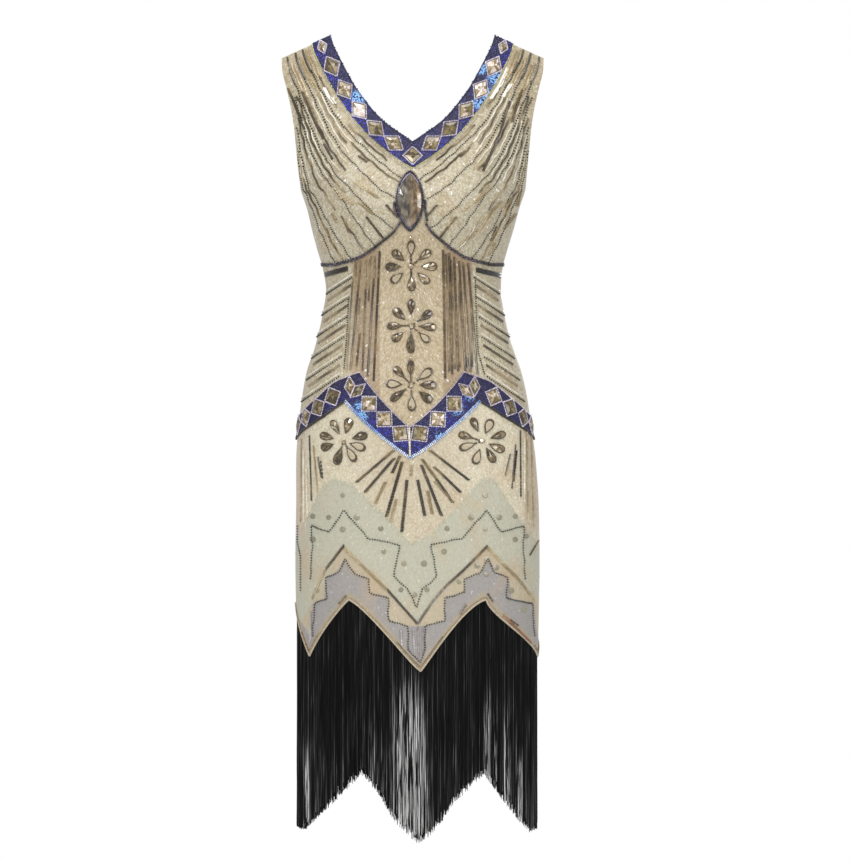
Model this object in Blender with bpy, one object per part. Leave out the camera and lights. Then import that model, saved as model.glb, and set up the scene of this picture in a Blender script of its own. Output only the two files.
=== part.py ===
"""A beaded flapper dress, filled out as when worn, with nothing inside it.

Metres, +Z up. The front faces -Y, and left and right are the wearer's, so left is +X. The origin
lies midway between the shoulder seams' upper ends, where the wearer's shoulders hold the dress up.
A place on the cloth is an angle (0 is the centre front, 90 the left side seam, 180 the centre back,
-90 or 270 the right side seam) and a drop below the origin. The tables and sizes are in millimetres.
"""

from math import asin, copysign, cos, degrees, pi, radians, sin

import bmesh
import bpy
import numpy as np
from mathutils import Vector

MM = 0.001

# Cloth and what lies on it
WALL = 1.8
SEAM = 0.4            # between the two edges of a seam
EMPIRE_SEAM = 0.6     # measured down, because that seam runs aslant
TRIM_LOW = 0.9        # the underside of a trim, above the cloth
TRIM_HIGH = 2.1       # its outer side
STUD = 1.4            # how far a stone stands above its band

# Shoulder and neck
NECK_POINT = 108      # from the middle to where the shoulder seam starts
SHOULDER_SLOPE = 0.45
SHOULDER_FADE = (30, 200)
SQUARENESS = 2.2      # the sections' exponent: 2 is an ellipse

# Bust
CUP_ASIDE = 76
CUP_DROP = 212
CUP_SPREAD = 45
CUP_FULLNESS = 10

# Fringe
STRAND_LENGTH = 224
STRAND_PITCH = 3.0    # degrees
STRAND_SHARE = 0.62   # of the pitch that the strand fills
STRIP_LIFT = -2.9     # the strip's outer side, inside the hem
STRIP_THICKNESS = 1.0
STRIP_ABOVE = 9
STRIP_BELOW = 1.5

# Grids
ON_SEAM = 2e-6        # a point this near y = 0, in metres, is on a side or shoulder seam
HALF_COLUMNS = 12
SKIRT_ROWS = 24


def table(names, rows):
    """Rows of figures as a dictionary of named columns."""
    return dict(zip(names.split(), np.array(rows, float).T))


# The whole dress, section by section. half_width runs on past the armhole, which cuts it off.
SECTIONS = table("drop middle half_width front back", (
    (0, -1, 180, 0, 0),
    (10, -1, 180, 22, 24),
    (25, -1, 180, 40, 42),
    (50, -1, 180, 62, 60),
    (90, -1, 180, 83, 76),
    (130, -1, 176, 95.5, 85),
    (150, -1, 165, 101, 87.5),
    (177, -1, 154.5, 110, 89.5),
    (203, -0.5, 148.3, 117, 89),
    (229, -0.5, 139.8, 119, 86.5),
    (256, -1, 133, 114, 82.5),
    (282, -1.5, 125.5, 104, 76.5),
    (308, -1, 118.5, 95.8, 71),
    (335, 0, 115.4, 91, 68.5),
    (361, 0, 119, 89.8, 70.5),
    (388, 0, 124.5, 91, 75.5),
    (414, 0.5, 131.8, 93, 82.5),
    (440, 0.7, 141, 95.5, 90),
    (467, 1.3, 147, 98, 98),
    (493, 1.7, 151, 99.5, 104.5),
    (520, 2, 154.3, 101, 109),
    (560, 3.3, 158.2, 102, 112),
    (625, 5.3, 160.3, 102, 110),
    (690, 5.3, 161.2, 102, 107),
    (800, 5.3, 159.5, 103, 104),
    (1080, 6.3, 157.5, 104, 103),
))

# The free edges, from the middle outwards
NECK_EDGE = table("drop aside", (
    (0, 108), (10, 105.5), (22, 100), (36, 93), (52, 84.5), (70, 74), (90, 59.5), (112, 40), (141, 0),
))
ARMHOLE_EDGE = table("drop aside", (
    (29.25, 173), (45, 172), (71, 166), (98, 160), (124, 156), (150, 153.6), (177, 151), (203, 148.3),
))

# Rows of the upper panels: where each starts at the neck or centre seam, and ends at the armhole or
# side seam. The neck edge reaches its point at row 8.
UPPER_ROWS = table("inner outer", (
    (0, 29.25), (10, 42), (22, 56), (36, 71), (52, 88), (70, 106), (90, 126), (112, 147), (141, 168),
    (154, 186), (168, 203), (184, 228), (200, 253), (216, 278), (232, 302),
))
V_ROW = 8
UNDERARM_DROP = 203

EMPIRE_LINE = table("angle drop", (
    (0, 232), (5, 245), (9, 259), (16, 272), (23, 283), (33, 293), (44, 298), (60, 302), (90, 302),
))

# The hem's notches and points in turn, all round. bend rounds the next stretch at its notch, over 1
# more so and under 1 less.
HEM_LINE = table("angle drop bend", (
    (-90, 750, 1.2), (-62, 817, 1.05), (-32.3, 743, 1.6), (2.7, 837, 1.6), (32.3, 743, 0.85),
    (84, 818, 1.3), (147.7, 743, 1.5), (180, 828, 1.5), (212.3, 743, 1.1), (242, 815, 1.2),
    (270, 750, 1.2),
))
FRONT_HEM_COLUMNS = table("column angle", (
    (0, -90), (4, -62), (8, -32.3), (12, 2.7), (16, 32.3), (22, 84), (24, 90),
))
LEFT_HEM_COLUMNS = table("column angle", ((0, 90), (7, 147.7), (12, 180)))
RIGHT_HEM_COLUMNS = table("column angle", ((0, 180), (5, 212.3), (8, 242), (12, 270)))


# The neck band's width, and how far its cross line slants below level, along the neck edge
NECK_BAND = table("row slant width", (
    (0, 24.2277, 26), (3, 26, 26), (5, 38, 26), (7, 54, 27), (8, 90, 34.5),
))
# The rows of its cross lines, and which of them carry a stone
NECK_CROSSINGS = table("row stone", (
    (0, 0), (0.5, 1), (1, 0), (1.7, 0), (2.4, 0), (3, 1), (3.6, 0), (4.2, 0), (4.75, 1), (5.4, 0),
    (6, 1), (6.55, 0), (7.05, 1), (7.35, 0), (7.6, 1), (7.82, 0), (8, 1),
))
# The hip band's two edges, from the centre notch over the peak to the side seam
HIP_BAND = table("column top_angle top_drop low_angle low_drop", (
    (0, 0, 517, 0, 558), (7, 26.7, 444, 31.5, 482), (10, 43, 455, 48, 498), (13, 57, 464, 60, 506),
    (16, 74, 474, 76, 515), (18, 90, 483, 90, 523),
))
HIP_COLUMNS = 18
HIP_LEAN = -2.0       # degrees: the front's notch lies off centre, and its ends at the sides do not
HIP_STONES = (1, 3, 5, 7, 10, 13, 16)
BAND_STEPS = 4

# The trim along the empire seam, its columns crowded towards the middle
EMPIRE_TRIM = {"start_angle": 6.5, "columns": 14, "crowding": 1.3, "half_width": 3.2}

JEWEL = {"aside": -4.6, "drop": 219, "half_width": 17.8, "half_height": 38, "sides": 18}
JEWEL_PINCH = 0.3     # how much narrower it is towards its lower point
# Rings from the outside in: their scale, and how far they rise
JEWEL_FRAME_RINGS = ((1, 0), (0.86, 1.4), (0.72, 0))
JEWEL_STONE_RINGS = ((0.68, 0), (0.42, 2.6))
JEWEL_STONE_RISE = 3.2
# turn is where a flower's first petal points, in degrees from straight up
FLOWERS = table("aside drop reach turn", (
    (-3.3, 306, 34, 0), (-3.3, 381, 34, 0), (-3.3, 460, 34, 0), (90.3, 532.5, 32, 22.5),
    (-91.6, 530, 32, 22.5),
))
FLOWER_NAMES = ("flower_waist_1", "flower_waist_2", "flower_waist_3", "flower_hip_left",
                "flower_hip_right")
PETALS = 8
PETAL_HALF_ANGLE = 10
PETAL_NOTCH = 0.24    # shares of the reach: where two petals meet, and where a petal is widest
PETAL_WAIST = 0.63
PETAL_RISE = 2.2
PETAL_CENTRE_RISE = 0.6
PETAL_LOW = 1.05      # a flower's two sides, above the cloth
PETAL_HIGH = 1.8

# The zip's pull tab, at the centre back, hangs on the slider's bridge
SLIDER_DROP = 150
SLIDER_GAP = 0.4      # between the slider and the neck band under it
SLIDER_SIZE = (5.0, 2.2, 9.0)
SLIDER_BEVEL = 0.5
BRIDGE_LENGTH = 7.0
BRIDGE_HEIGHT = 3.2
BRIDGE_SLOPE = 1.0    # how much its ends lean in
BRIDGE_BAR = 0.7      # its outer bar
BRIDGE_HOLE = (4.4, 2.1)
BRIDGE_THICKNESS = 1.2
BRIDGE_SUNK = 0.6     # its feet, in the slider
PULL_LENGTH = 21.0
PULL_THICKNESS = 0.9
PULL_BAR = 1.0        # the bar that runs through the bridge
PULL_WINDOW = (2.5, 4.1)
PULL_TOP_HALF = 2.5
PULL_NECK_HALF = 2.6
PULL_NECK_BELOW = 2.0
PULL_END_RADIUS = 3.2


class Column:
    """One column of a table, read between its rows on a smooth curve that never overshoots them."""

    def __init__(self, rows, key, name):
        self.at = rows[key]
        self.value = rows[name]
        steps = np.diff(self.value) / np.diff(self.at)
        before, after = steps[:-1], steps[1:]
        turning = before * after <= 0
        mean = 2 * before * after / np.where(turning, 1, before + after)
        self.slope = np.concatenate([steps[:1], np.where(turning, 0, mean), steps[-1:]])

    def __call__(self, place):
        place = min(max(place, self.at[0]), self.at[-1])
        k = min(int(np.searchsorted(self.at, place, side="right")) - 1, len(self.at) - 2)
        width = self.at[k + 1] - self.at[k]
        t = (place - self.at[k]) / width
        start = self.value[k] * (1 + 2 * t) + self.slope[k] * width * t
        end = self.value[k + 1] * (3 - 2 * t) + self.slope[k + 1] * width * (t - 1)
        return start * (1 - t) ** 2 + end * t ** 2


middle = Column(SECTIONS, "drop", "middle")
half_width = Column(SECTIONS, "drop", "half_width")
front_depth = Column(SECTIONS, "drop", "front")
back_depth = Column(SECTIONS, "drop", "back")
neck_aside = Column(NECK_EDGE, "drop", "aside")
armhole_aside = Column(ARMHOLE_EDGE, "drop", "aside")


def read(rows, key, name, place):
    """A table read in straight lines between its rows."""
    return float(np.interp(place, rows[key], rows[name]))


def empire_drop(angle):
    return read(EMPIRE_LINE, "angle", "drop", abs(angle))


def hem_drop(angle):
    """The hem at this angle: each stretch leaves its notch on a curve and meets its point."""
    angles, drops = HEM_LINE["angle"], HEM_LINE["drop"]
    start = min(max(int(np.searchsorted(angles, angle, side="right")) - 1, 0), len(angles) - 2)
    share = (angle - angles[start]) / (angles[start + 1] - angles[start])
    notch, point = min(drops[start:start + 2]), max(drops[start:start + 2])
    from_notch = share if drops[start] == notch else 1 - share
    return notch + (point - notch) * max(0, from_notch) ** HEM_LINE["bend"][start]


def shoulder_drop(aside):
    """How far the shoulder seam has fallen at this distance from the middle."""
    return SHOULDER_SLOPE * max(0, aside - NECK_POINT)


def angle_of(aside, drop):
    """The angle at which the front lies this far from the section's middle."""
    share = min(1, abs(aside) / half_width(drop))
    return copysign(degrees(asin(share ** (SQUARENESS / 2))), aside)


def skin(angle, drop):
    """The point on the cloth's outer side, in metres."""
    turn = radians(angle)
    across = copysign(abs(sin(turn)) ** (2 / SQUARENESS), sin(turn))
    forward = copysign(abs(cos(turn)) ** (2 / SQUARENESS), cos(turn))
    aside = half_width(drop) * across
    start, end = SHOULDER_FADE
    faded = min(max((drop - start) / (end - start), 0), 1)
    faded = faded * faded * (3 - 2 * faded)
    below_shoulder = drop - shoulder_drop(abs(aside)) * (1 - faded)
    if forward > 0:
        height = drop - CUP_DROP
        cups = sum(
            np.exp(-((aside - cup) ** 2 + height ** 2) / (2 * CUP_SPREAD ** 2))
            for cup in (-CUP_ASIDE, CUP_ASIDE)
        )
        y = -forward * (front_depth(below_shoulder) + CUP_FULLNESS * cups * forward)
    else:
        y = -forward * back_depth(below_shoulder)
    return Vector((aside + middle(drop), y, -drop)) * MM


def skin_normal(angle, drop):
    """The direction out of the cloth, from the skin's slopes each way."""
    step = 0.5
    round_it = skin(angle + step, drop) - skin(angle - step, drop)
    down_it = skin(angle, drop + step) - skin(angle, drop - step)
    return down_it.cross(round_it).normalized()


def on_skin(angle, drop, facing, hand):
    """A point of the skin and its direction out, kept flat in a seam's plane on a seam.

    facing is -1 on a front piece and 1 on a back one, which moves it half a seam clear of y = 0.
    hand is the side of a piece whose edge is the centre seam, or 0.
    """
    point = skin(angle, drop)
    normal = skin_normal(angle, drop)
    if abs(point.y) < ON_SEAM:
        point.y = 0
        normal.y = 0
    if hand and angle in (0, 180):
        normal.x = 0
        point.x += hand * SEAM / 2 * MM
    point.y += facing * SEAM / 2 * MM
    return point, normal.normalized()


def clad_mesh(spots, faces, low, high, facing, hand=0):
    """A closed wall that follows the skin, from low to high above it.

    A spot is (angle, drop, rise), and its rise lifts the outer point alone. Solidify would tilt the
    edges out of the seams' planes, so both sheets are placed here and joined round the border.
    Returns the mesh and its border faces by their spots.
    """
    mesh = bmesh.new()
    outer = []
    inner = []
    for angle, drop, rise in spots:
        point, normal = on_skin(angle, drop, facing, hand)
        outer.append(mesh.verts.new(point + normal * (high + rise) * MM))
        inner.append(mesh.verts.new(point + normal * low * MM))
    edges = set()
    for face in faces:
        mesh.faces.new([outer[i] for i in face])
        mesh.faces.new([inner[i] for i in reversed(face)])
        edges.update(zip(face, face[1:] + face[:1]))
    border = {}
    for a, b in edges:
        if (b, a) not in edges:
            border[a, b] = mesh.faces.new([outer[b], outer[a], inner[a], inner[b]])
    return mesh, border


def grid_faces(rows, columns):
    """Quads of a grid of rows x columns spots, stored row after row."""
    return [
        [r * columns + c, (r + 1) * columns + c, (r + 1) * columns + c + 1, r * columns + c + 1]
        for r in range(rows - 1) for c in range(columns - 1)
    ]


def finish(name, colour, roughness, metallic=0.0):
    material = bpy.data.materials.new(name)
    material.use_nodes = True
    shader = material.node_tree.nodes["Principled BSDF"]
    shader.inputs["Base Color"].default_value = (*colour, 1)
    shader.inputs["Roughness"].default_value = roughness
    shader.inputs["Metallic"].default_value = metallic
    return material


def place(name, mesh, material, collection, location=(0, 0, 0)):
    """Stores a bmesh as an object of the dress."""
    data = bpy.data.meshes.new(name)
    mesh.normal_update()
    mesh.to_mesh(data)
    mesh.free()
    data.materials.append(material)
    data.shade_smooth()
    data.set_sharp_from_angle(angle=radians(40))
    item = bpy.data.objects.new(name, data)
    item.location = location
    collection.objects.link(item)
    return item


def upper_rows(outer_angle_sign, to_empire):
    """The rows of an upper panel, each a list of (angle, drop) from the neck outwards."""
    rows = []
    first, last = UPPER_ROWS["inner"][0], UPPER_ROWS["inner"][-1]
    v_drop = UPPER_ROWS["inner"][V_ROW]
    for inner, outer in zip(UPPER_ROWS["inner"], UPPER_ROWS["outer"]):
        start = angle_of(neck_aside(inner), inner) if inner < v_drop else 0
        end = angle_of(armhole_aside(outer), outer) if outer < UNDERARM_DROP else 90
        row = []
        for column in range(HALF_COLUMNS + 1):
            share = column / HALF_COLUMNS
            angle = start + (end - start) * share
            drop = inner + (outer - inner) * share
            aside = half_width(drop) * sin(radians(angle)) ** (2 / SQUARENESS)
            if inner == first:
                drop = shoulder_drop(aside)
            if to_empire and inner > v_drop:
                straight = last + (UPPER_ROWS["outer"][-1] - last) * share
                weight = ((inner - v_drop) / (last - v_drop)) ** 2
                drop += weight * (empire_drop(angle) - straight)
            row.append((outer_angle_sign * angle, drop))
        rows.append(row)
    return rows


def panel(name, rows, material, collection, facing, hand=0):
    """A wall of cloth through rows of (angle, drop), the angles rising along each row."""
    spots = [(angle, drop, 0) for row in rows for angle, drop in row]
    faces = grid_faces(len(rows), len(rows[0]))
    mesh, _ = clad_mesh(spots, faces, -WALL, 0, facing, hand)
    return place(name, mesh, material, collection)


def make_bodice(material, collection):
    for name, hand in (("bodice_left", 1), ("bodice_right", -1)):
        rows = upper_rows(hand, to_empire=True)
        rows[-1] = [(angle, drop - EMPIRE_SEAM / 2) for angle, drop in rows[-1]]
        rows = rows if hand > 0 else [row[::-1] for row in rows]
        panel(name, rows, material, collection, facing=-1, hand=hand)


def skirt_share(row_index):
    """How far down the skirt a row lies: the rows are closer at the waist, where it curves."""
    even = row_index / SKIRT_ROWS
    return even * (0.72 + 0.28 * even)


def make_front_skirt(material, collection):
    rows = []
    for row_index in range(SKIRT_ROWS + 1):
        share = skirt_share(row_index)
        row = []
        for column in range(2 * HALF_COLUMNS + 1):
            top_angle = 90 * (column / HALF_COLUMNS - 1)
            hem_angle = read(FRONT_HEM_COLUMNS, "column", "angle", column)
            top = empire_drop(top_angle) + EMPIRE_SEAM / 2
            angle = top_angle + (hem_angle - top_angle) * share
            row.append((angle, top + (hem_drop(hem_angle) - top) * share))
        rows.append(row)
    panel("front_skirt", rows, material, collection, facing=-1)


def make_backs(material, collection):
    for name, hand, hem_columns in (("back_left", 1, LEFT_HEM_COLUMNS),
                                    ("back_right", -1, RIGHT_HEM_COLUMNS)):
        rows = [
            [(180 - hand * angle, drop) for angle, drop in row][::-hand]
            for row in upper_rows(1, to_empire=False)
        ]
        top_row = rows[-1]
        for row_index in range(1, SKIRT_ROWS + 1):
            share = skirt_share(row_index)
            row = []
            for column, (top_angle, top) in enumerate(top_row):
                hem_angle = read(hem_columns, "column", "angle", column)
                angle = top_angle + (hem_angle - top_angle) * share
                row.append((angle, top + (hem_drop(hem_angle) - top) * share))
            rows.append(row)
        panel(name, rows, material, collection, facing=1, hand=hand)


def band(name, crossings, studs, material, collection, facing, hand=0):
    """A trim through crossings, each a list of (angle, drop) from its upper to its lower edge.

    The middle spot of each crossing in studs stands up as the apex of a stone.
    """
    steps = len(crossings[0])
    spots = []
    for step in range(steps):
        for index, crossing in enumerate(crossings):
            rise = STUD if index in studs and step == steps // 2 else 0
            spots.append((*crossing[step], rise))
    faces = grid_faces(steps, len(crossings))
    mesh, _ = clad_mesh(spots, faces, TRIM_LOW, TRIM_HIGH, facing, hand)
    return place(name, mesh, material, collection)


def neck_crossing(row):
    """The cross line of the neck band at this row of the upper panels, as (angle, drop)."""
    inner = float(np.interp(row, range(len(UPPER_ROWS["inner"])), UPPER_ROWS["inner"]))
    start = neck_aside(inner)
    slant = radians(read(NECK_BAND, "row", "slant", row))
    width = read(NECK_BAND, "row", "width", row)
    crossing = []
    for step in range(BAND_STEPS + 1):
        along = width * step / BAND_STEPS
        aside = start + along * cos(slant) if row < V_ROW else 0
        drop = inner + along * sin(slant) if row else shoulder_drop(aside)
        crossing.append((angle_of(aside, drop) if aside else 0, drop))
    return crossing


def make_neck_bands(material, collection):
    half = [neck_crossing(row) for row in NECK_CROSSINGS["row"]]
    right = [[(-angle, drop) for angle, drop in crossing] for crossing in half]
    studs = {index for index, stone in enumerate(NECK_CROSSINGS["stone"]) if stone}
    last = 2 * len(half) - 2
    studs |= {last - index for index in studs}
    band("neck_band_front", right + half[-2::-1], studs, material, collection, facing=-1)
    behind = [[(180 - angle, drop) for angle, drop in crossing] for crossing in half]
    band("neck_band_back_left", behind, (), material, collection, facing=1, hand=1)
    behind = [[(180 + angle, drop) for angle, drop in crossing] for crossing in half[::-1]]
    band("neck_band_back_right", behind, (), material, collection, facing=1, hand=-1)


def hip_crossing(column, lean=0):
    """The cross line of the hip band at this column, counted from the centre, as (angle, drop)."""
    place_on = abs(column)
    top_angle, top, low_angle, low = (
        read(HIP_BAND, "column", name, place_on)
        for name in ("top_angle", "top_drop", "low_angle", "low_drop")
    )
    crossing = []
    for step in range(BAND_STEPS + 1):
        share = step / BAND_STEPS
        angle = top_angle + (low_angle - top_angle) * share
        angle = copysign(angle, column) + lean * (1 - angle / 90)
        crossing.append((angle, top + (low - top) * share))
    return crossing


def make_hip_bands(material, collection):
    columns = range(-HIP_COLUMNS, HIP_COLUMNS + 1)
    crossings = [hip_crossing(column, HIP_LEAN) for column in columns]
    studs = {HIP_COLUMNS + side * stone for side in (-1, 1) for stone in HIP_STONES}
    band("hip_band_front", crossings, studs, material, collection, facing=-1)
    half = [hip_crossing(column) for column in range(HIP_COLUMNS, -1, -1)]
    behind = [[(180 - angle, drop) for angle, drop in crossing] for crossing in half]
    band("hip_band_back_left", behind, (), material, collection, facing=1, hand=1)
    behind = [[(180 + angle, drop) for angle, drop in crossing] for crossing in half[::-1]]
    band("hip_band_back_right", behind, (), material, collection, facing=1, hand=-1)


def make_empire_trims(material, collection):
    start, columns, crowding, half = EMPIRE_TRIM.values()
    angles = [start + (90 - start) * (k / columns) ** crowding for k in range(columns + 1)]
    crossings = [
        [(angle, empire_drop(angle) + offset) for offset in (-half, 0, half)] for angle in angles
    ]
    ridge = set(range(1, columns))
    band("empire_trim_left", crossings, ridge, material, collection, facing=-1)
    mirrored = [[(-angle, drop) for angle, drop in crossing] for crossing in crossings[::-1]]
    band("empire_trim_right", mirrored, ridge, material, collection, facing=-1)


def plan_spot(aside, drop, rise=0):
    """A spot of the front from its world x and its drop, in millimetres."""
    return (angle_of(aside - middle(drop), drop), drop, rise)


def jewel_loop(scale, rise):
    """A ring of spots: round above and drawn to a blunt point below."""
    spots = []
    for side in range(JEWEL["sides"]):
        turn = 2 * pi * side / JEWEL["sides"]
        down = -cos(turn)
        pinch = 1 - JEWEL_PINCH * max(0, down) ** 2
        aside = JEWEL["aside"] - JEWEL["half_width"] * sin(turn) * pinch * scale
        spots.append(plan_spot(aside, JEWEL["drop"] + JEWEL["half_height"] * down * scale, rise))
    return spots


def make_jewel(frame_material, stone_material, collection):
    sides = JEWEL["sides"]
    loops = [spot for ring in JEWEL_FRAME_RINGS for spot in jewel_loop(*ring)]
    faces = [
        [ring * sides + k, ring * sides + (k + 1) % sides,
         (ring + 1) * sides + (k + 1) % sides, (ring + 1) * sides + k]
        for ring in range(2) for k in range(sides)
    ]
    mesh, _ = clad_mesh(loops, faces, TRIM_LOW, TRIM_HIGH, facing=-1)
    place("jewel_frame", mesh, frame_material, collection)
    spots = [spot for ring in JEWEL_STONE_RINGS for spot in jewel_loop(*ring)]
    spots.append(plan_spot(JEWEL["aside"], JEWEL["drop"], JEWEL_STONE_RISE))
    faces = [[k, (k + 1) % sides, sides + (k + 1) % sides, sides + k] for k in range(sides)]
    faces += [[sides + k, sides + (k + 1) % sides, 2 * sides] for k in range(sides)]
    mesh, _ = clad_mesh(spots, faces, TRIM_LOW, TRIM_HIGH, facing=-1)
    place("jewel_stone", mesh, stone_material, collection)


def make_flowers(material, collection):
    """Each flower is long stones round a small disc."""
    step = 2 * pi / PETALS
    half = radians(PETAL_HALF_ANGLE)
    for name, aside, drop, reach, first in zip(FLOWER_NAMES, *FLOWERS.values()):
        def spot(radius, turn, rise=0):
            x = aside + reach * radius * sin(turn)
            return plan_spot(x, drop - reach * radius * cos(turn), rise)
        spots = [spot(0, 0, PETAL_CENTRE_RISE)]
        faces = []
        for petal in range(PETALS):
            axis = radians(first) + step * petal
            spots.append(spot(PETAL_NOTCH, axis - step / 2))
            spots.append(spot(PETAL_WAIST, axis - half))
            spots.append(spot(1, axis))
            spots.append(spot(PETAL_WAIST, axis + half))
            spots.append(spot(PETAL_WAIST, axis, PETAL_RISE))
        for petal in range(PETALS):
            base = 1 + 5 * petal
            following = 1 + 5 * ((petal + 1) % PETALS)
            loop = [0, base, base + 1, base + 2, base + 3, following]
            faces += [[b, a, base + 4] for a, b in zip(loop, loop[1:] + loop[:1])]
        mesh, _ = clad_mesh(spots, faces, PETAL_LOW, PETAL_HIGH, facing=-1)
        place(name, mesh, material, collection)


def make_fringe(name, start, end, facing, material, collection):
    """A narrow strip inside the hem, with every second stretch of its lower edge drawn down."""
    angles = []
    for strand in range(round((end - start) / STRAND_PITCH)):
        left = start + strand * STRAND_PITCH
        margin = STRAND_PITCH * (1 - STRAND_SHARE) / 2
        angles += [left + margin, left + STRAND_PITCH - margin]
    angles = [start, *angles, end]
    spots = [(angle, hem_drop(angle) - STRIP_ABOVE, 0) for angle in angles]
    spots += [(angle, hem_drop(angle) + STRIP_BELOW, 0) for angle in angles]
    columns = len(angles)
    low = STRIP_LIFT - STRIP_THICKNESS
    mesh, border = clad_mesh(spots, grid_faces(2, columns), low, STRIP_LIFT, facing)
    roots = [border[columns + c, columns + c + 1] for c in range(1, columns - 2, 2)]
    drawn = bmesh.ops.extrude_discrete_faces(mesh, faces=roots)["faces"]
    for face in drawn:
        bmesh.ops.translate(mesh, verts=face.verts, vec=(0, 0, -STRAND_LENGTH * MM))
    return place(name, mesh, material, collection)


def flat_outline(name, loops, thickness, collection):
    """A flat plate in the XZ plane from closed loops of (x, z), the later ones holes."""
    curve = bpy.data.curves.new(name, "CURVE")
    curve.dimensions = "2D"
    curve.fill_mode = "BOTH"
    curve.extrude = thickness / 2 * MM
    for loop in loops:
        spline = curve.splines.new("POLY")
        spline.points.add(len(loop) - 1)
        spline.use_cyclic_u = True
        for point, (x, z) in zip(spline.points, loop):
            point.co = (x * MM, z * MM, 0, 1)
    guide = bpy.data.objects.new(name, curve)
    collection.objects.link(guide)
    bpy.context.view_layer.update()
    depsgraph = bpy.context.evaluated_depsgraph_get()
    data = bpy.data.meshes.new_from_object(guide.evaluated_get(depsgraph))
    bpy.data.objects.remove(guide)
    mesh = bmesh.new()
    mesh.from_mesh(data)
    bpy.data.meshes.remove(data)
    bmesh.ops.remove_doubles(mesh, verts=mesh.verts, dist=1e-6)
    for vertex in mesh.verts:
        vertex.co = Vector((vertex.co.x, -vertex.co.z, vertex.co.y))
    bmesh.ops.recalc_face_normals(mesh, faces=mesh.faces)
    return mesh


def rectangle(half_x, top, bottom):
    return [(-half_x, bottom), (half_x, bottom), (half_x, top), (-half_x, top)]


def make_zip(material, collection, cutters):
    """The slider on the centre back seam, and the pull tab that hangs on its bridge."""
    seat = skin(180, SLIDER_DROP)
    width, depth, height = (size * MM for size in SLIDER_SIZE)
    under = skin(180, SLIDER_DROP + SLIDER_SIZE[2] / 2).y + (SEAM / 2 + TRIM_HIGH) * MM
    body_y = under + SLIDER_GAP * MM + depth / 2
    face_y = body_y + depth / 2
    hole_low = BRIDGE_HEIGHT - BRIDGE_BAR - BRIDGE_HOLE[1]
    axis_y = face_y + (hole_low + BRIDGE_HOLE[1] / 2) * MM
    mesh = bmesh.new()
    bmesh.ops.create_cube(mesh, size=1)
    bmesh.ops.scale(mesh, vec=(width, depth, height), verts=mesh.verts)
    bevel = SLIDER_BEVEL * MM
    bmesh.ops.bevel(mesh, geom=mesh.edges[:], offset=bevel, segments=1, affect="EDGES")
    slider = place("zip_slider", mesh, material, collection, (seat.x, body_y, seat.z))

    half_length, hole_half = BRIDGE_LENGTH / 2, BRIDGE_HOLE[0] / 2
    outer_half = half_length - BRIDGE_SLOPE
    outline = [
        [(-BRIDGE_SUNK, -half_length), (BRIDGE_HEIGHT, -outer_half), (BRIDGE_HEIGHT, outer_half),
         (-BRIDGE_SUNK, half_length)],
        [(hole_low, -hole_half), (hole_low + BRIDGE_HOLE[1], -hole_half),
         (hole_low + BRIDGE_HOLE[1], hole_half), (hole_low, hole_half)],
    ]
    mesh = flat_outline("zip_bridge", outline, BRIDGE_THICKNESS, cutters)
    for vertex in mesh.verts:
        vertex.co = Vector((vertex.co.y, vertex.co.x, vertex.co.z))
    bmesh.ops.recalc_face_normals(mesh, faces=mesh.faces)
    bridge = place("zip_bridge", mesh, material, cutters, (seat.x, face_y, seat.z))
    bridge.hide_render = True
    bridge.display_type = "WIRE"
    union = slider.modifiers.new("bridge", "BOOLEAN")
    union.operation = "UNION"
    union.solver = "EXACT"
    union.object = bridge

    end = PULL_END_RADIUS
    round_end = [
        (end * sin(radians(a)), end - PULL_LENGTH - end * cos(radians(a)))
        for a in range(-75, 76, 25)
    ]
    top = PULL_BAR / 2
    neck = -PULL_WINDOW[1] - PULL_NECK_BELOW
    outline = [
        [*round_end, (PULL_NECK_HALF, neck), (PULL_TOP_HALF, top), (-PULL_TOP_HALF, top),
         (-PULL_NECK_HALF, neck)],
        rectangle(PULL_WINDOW[0] / 2, -top, -top - PULL_WINDOW[1]),
    ]
    mesh = flat_outline("zip_pull", outline, PULL_THICKNESS, cutters)
    place("zip_pull", mesh, material, collection, (seat.x, axis_y, seat.z))


def main():
    for item in list(bpy.data.objects):
        bpy.data.objects.remove(item)
    dress = bpy.data.collections.new("flapper_dress")
    cutters = bpy.data.collections.new("cutters")
    bpy.context.scene.collection.children.link(dress)
    bpy.context.scene.collection.children.link(cutters)

    cloth = finish("beaded net", (0.69, 0.65, 0.46), 0.7)
    blue = finish("blue sequins", (0.03, 0.03, 0.36), 0.3)
    dark = finish("dark beads", (0.04, 0.03, 0.06), 0.35)
    stone = finish("smoky stones", (0.32, 0.22, 0.1), 0.12)
    black = finish("black fringe", (0.008, 0.008, 0.009), 0.45)
    metal = finish("zip metal", (0.45, 0.43, 0.38), 0.35, 1.0)

    make_bodice(cloth, dress)
    make_front_skirt(cloth, dress)
    make_backs(cloth, dress)
    make_neck_bands(blue, dress)
    make_hip_bands(blue, dress)
    make_empire_trims(dark, dress)
    make_jewel(dark, stone, dress)
    make_flowers(stone, dress)
    make_fringe("fringe_front", -90, 90, -1, black, dress)
    make_fringe("fringe_back", 90, 270, 1, black, dress)
    make_zip(metal, dress, cutters)


main()
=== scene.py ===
from math import cos, pi, radians, sin

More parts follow.
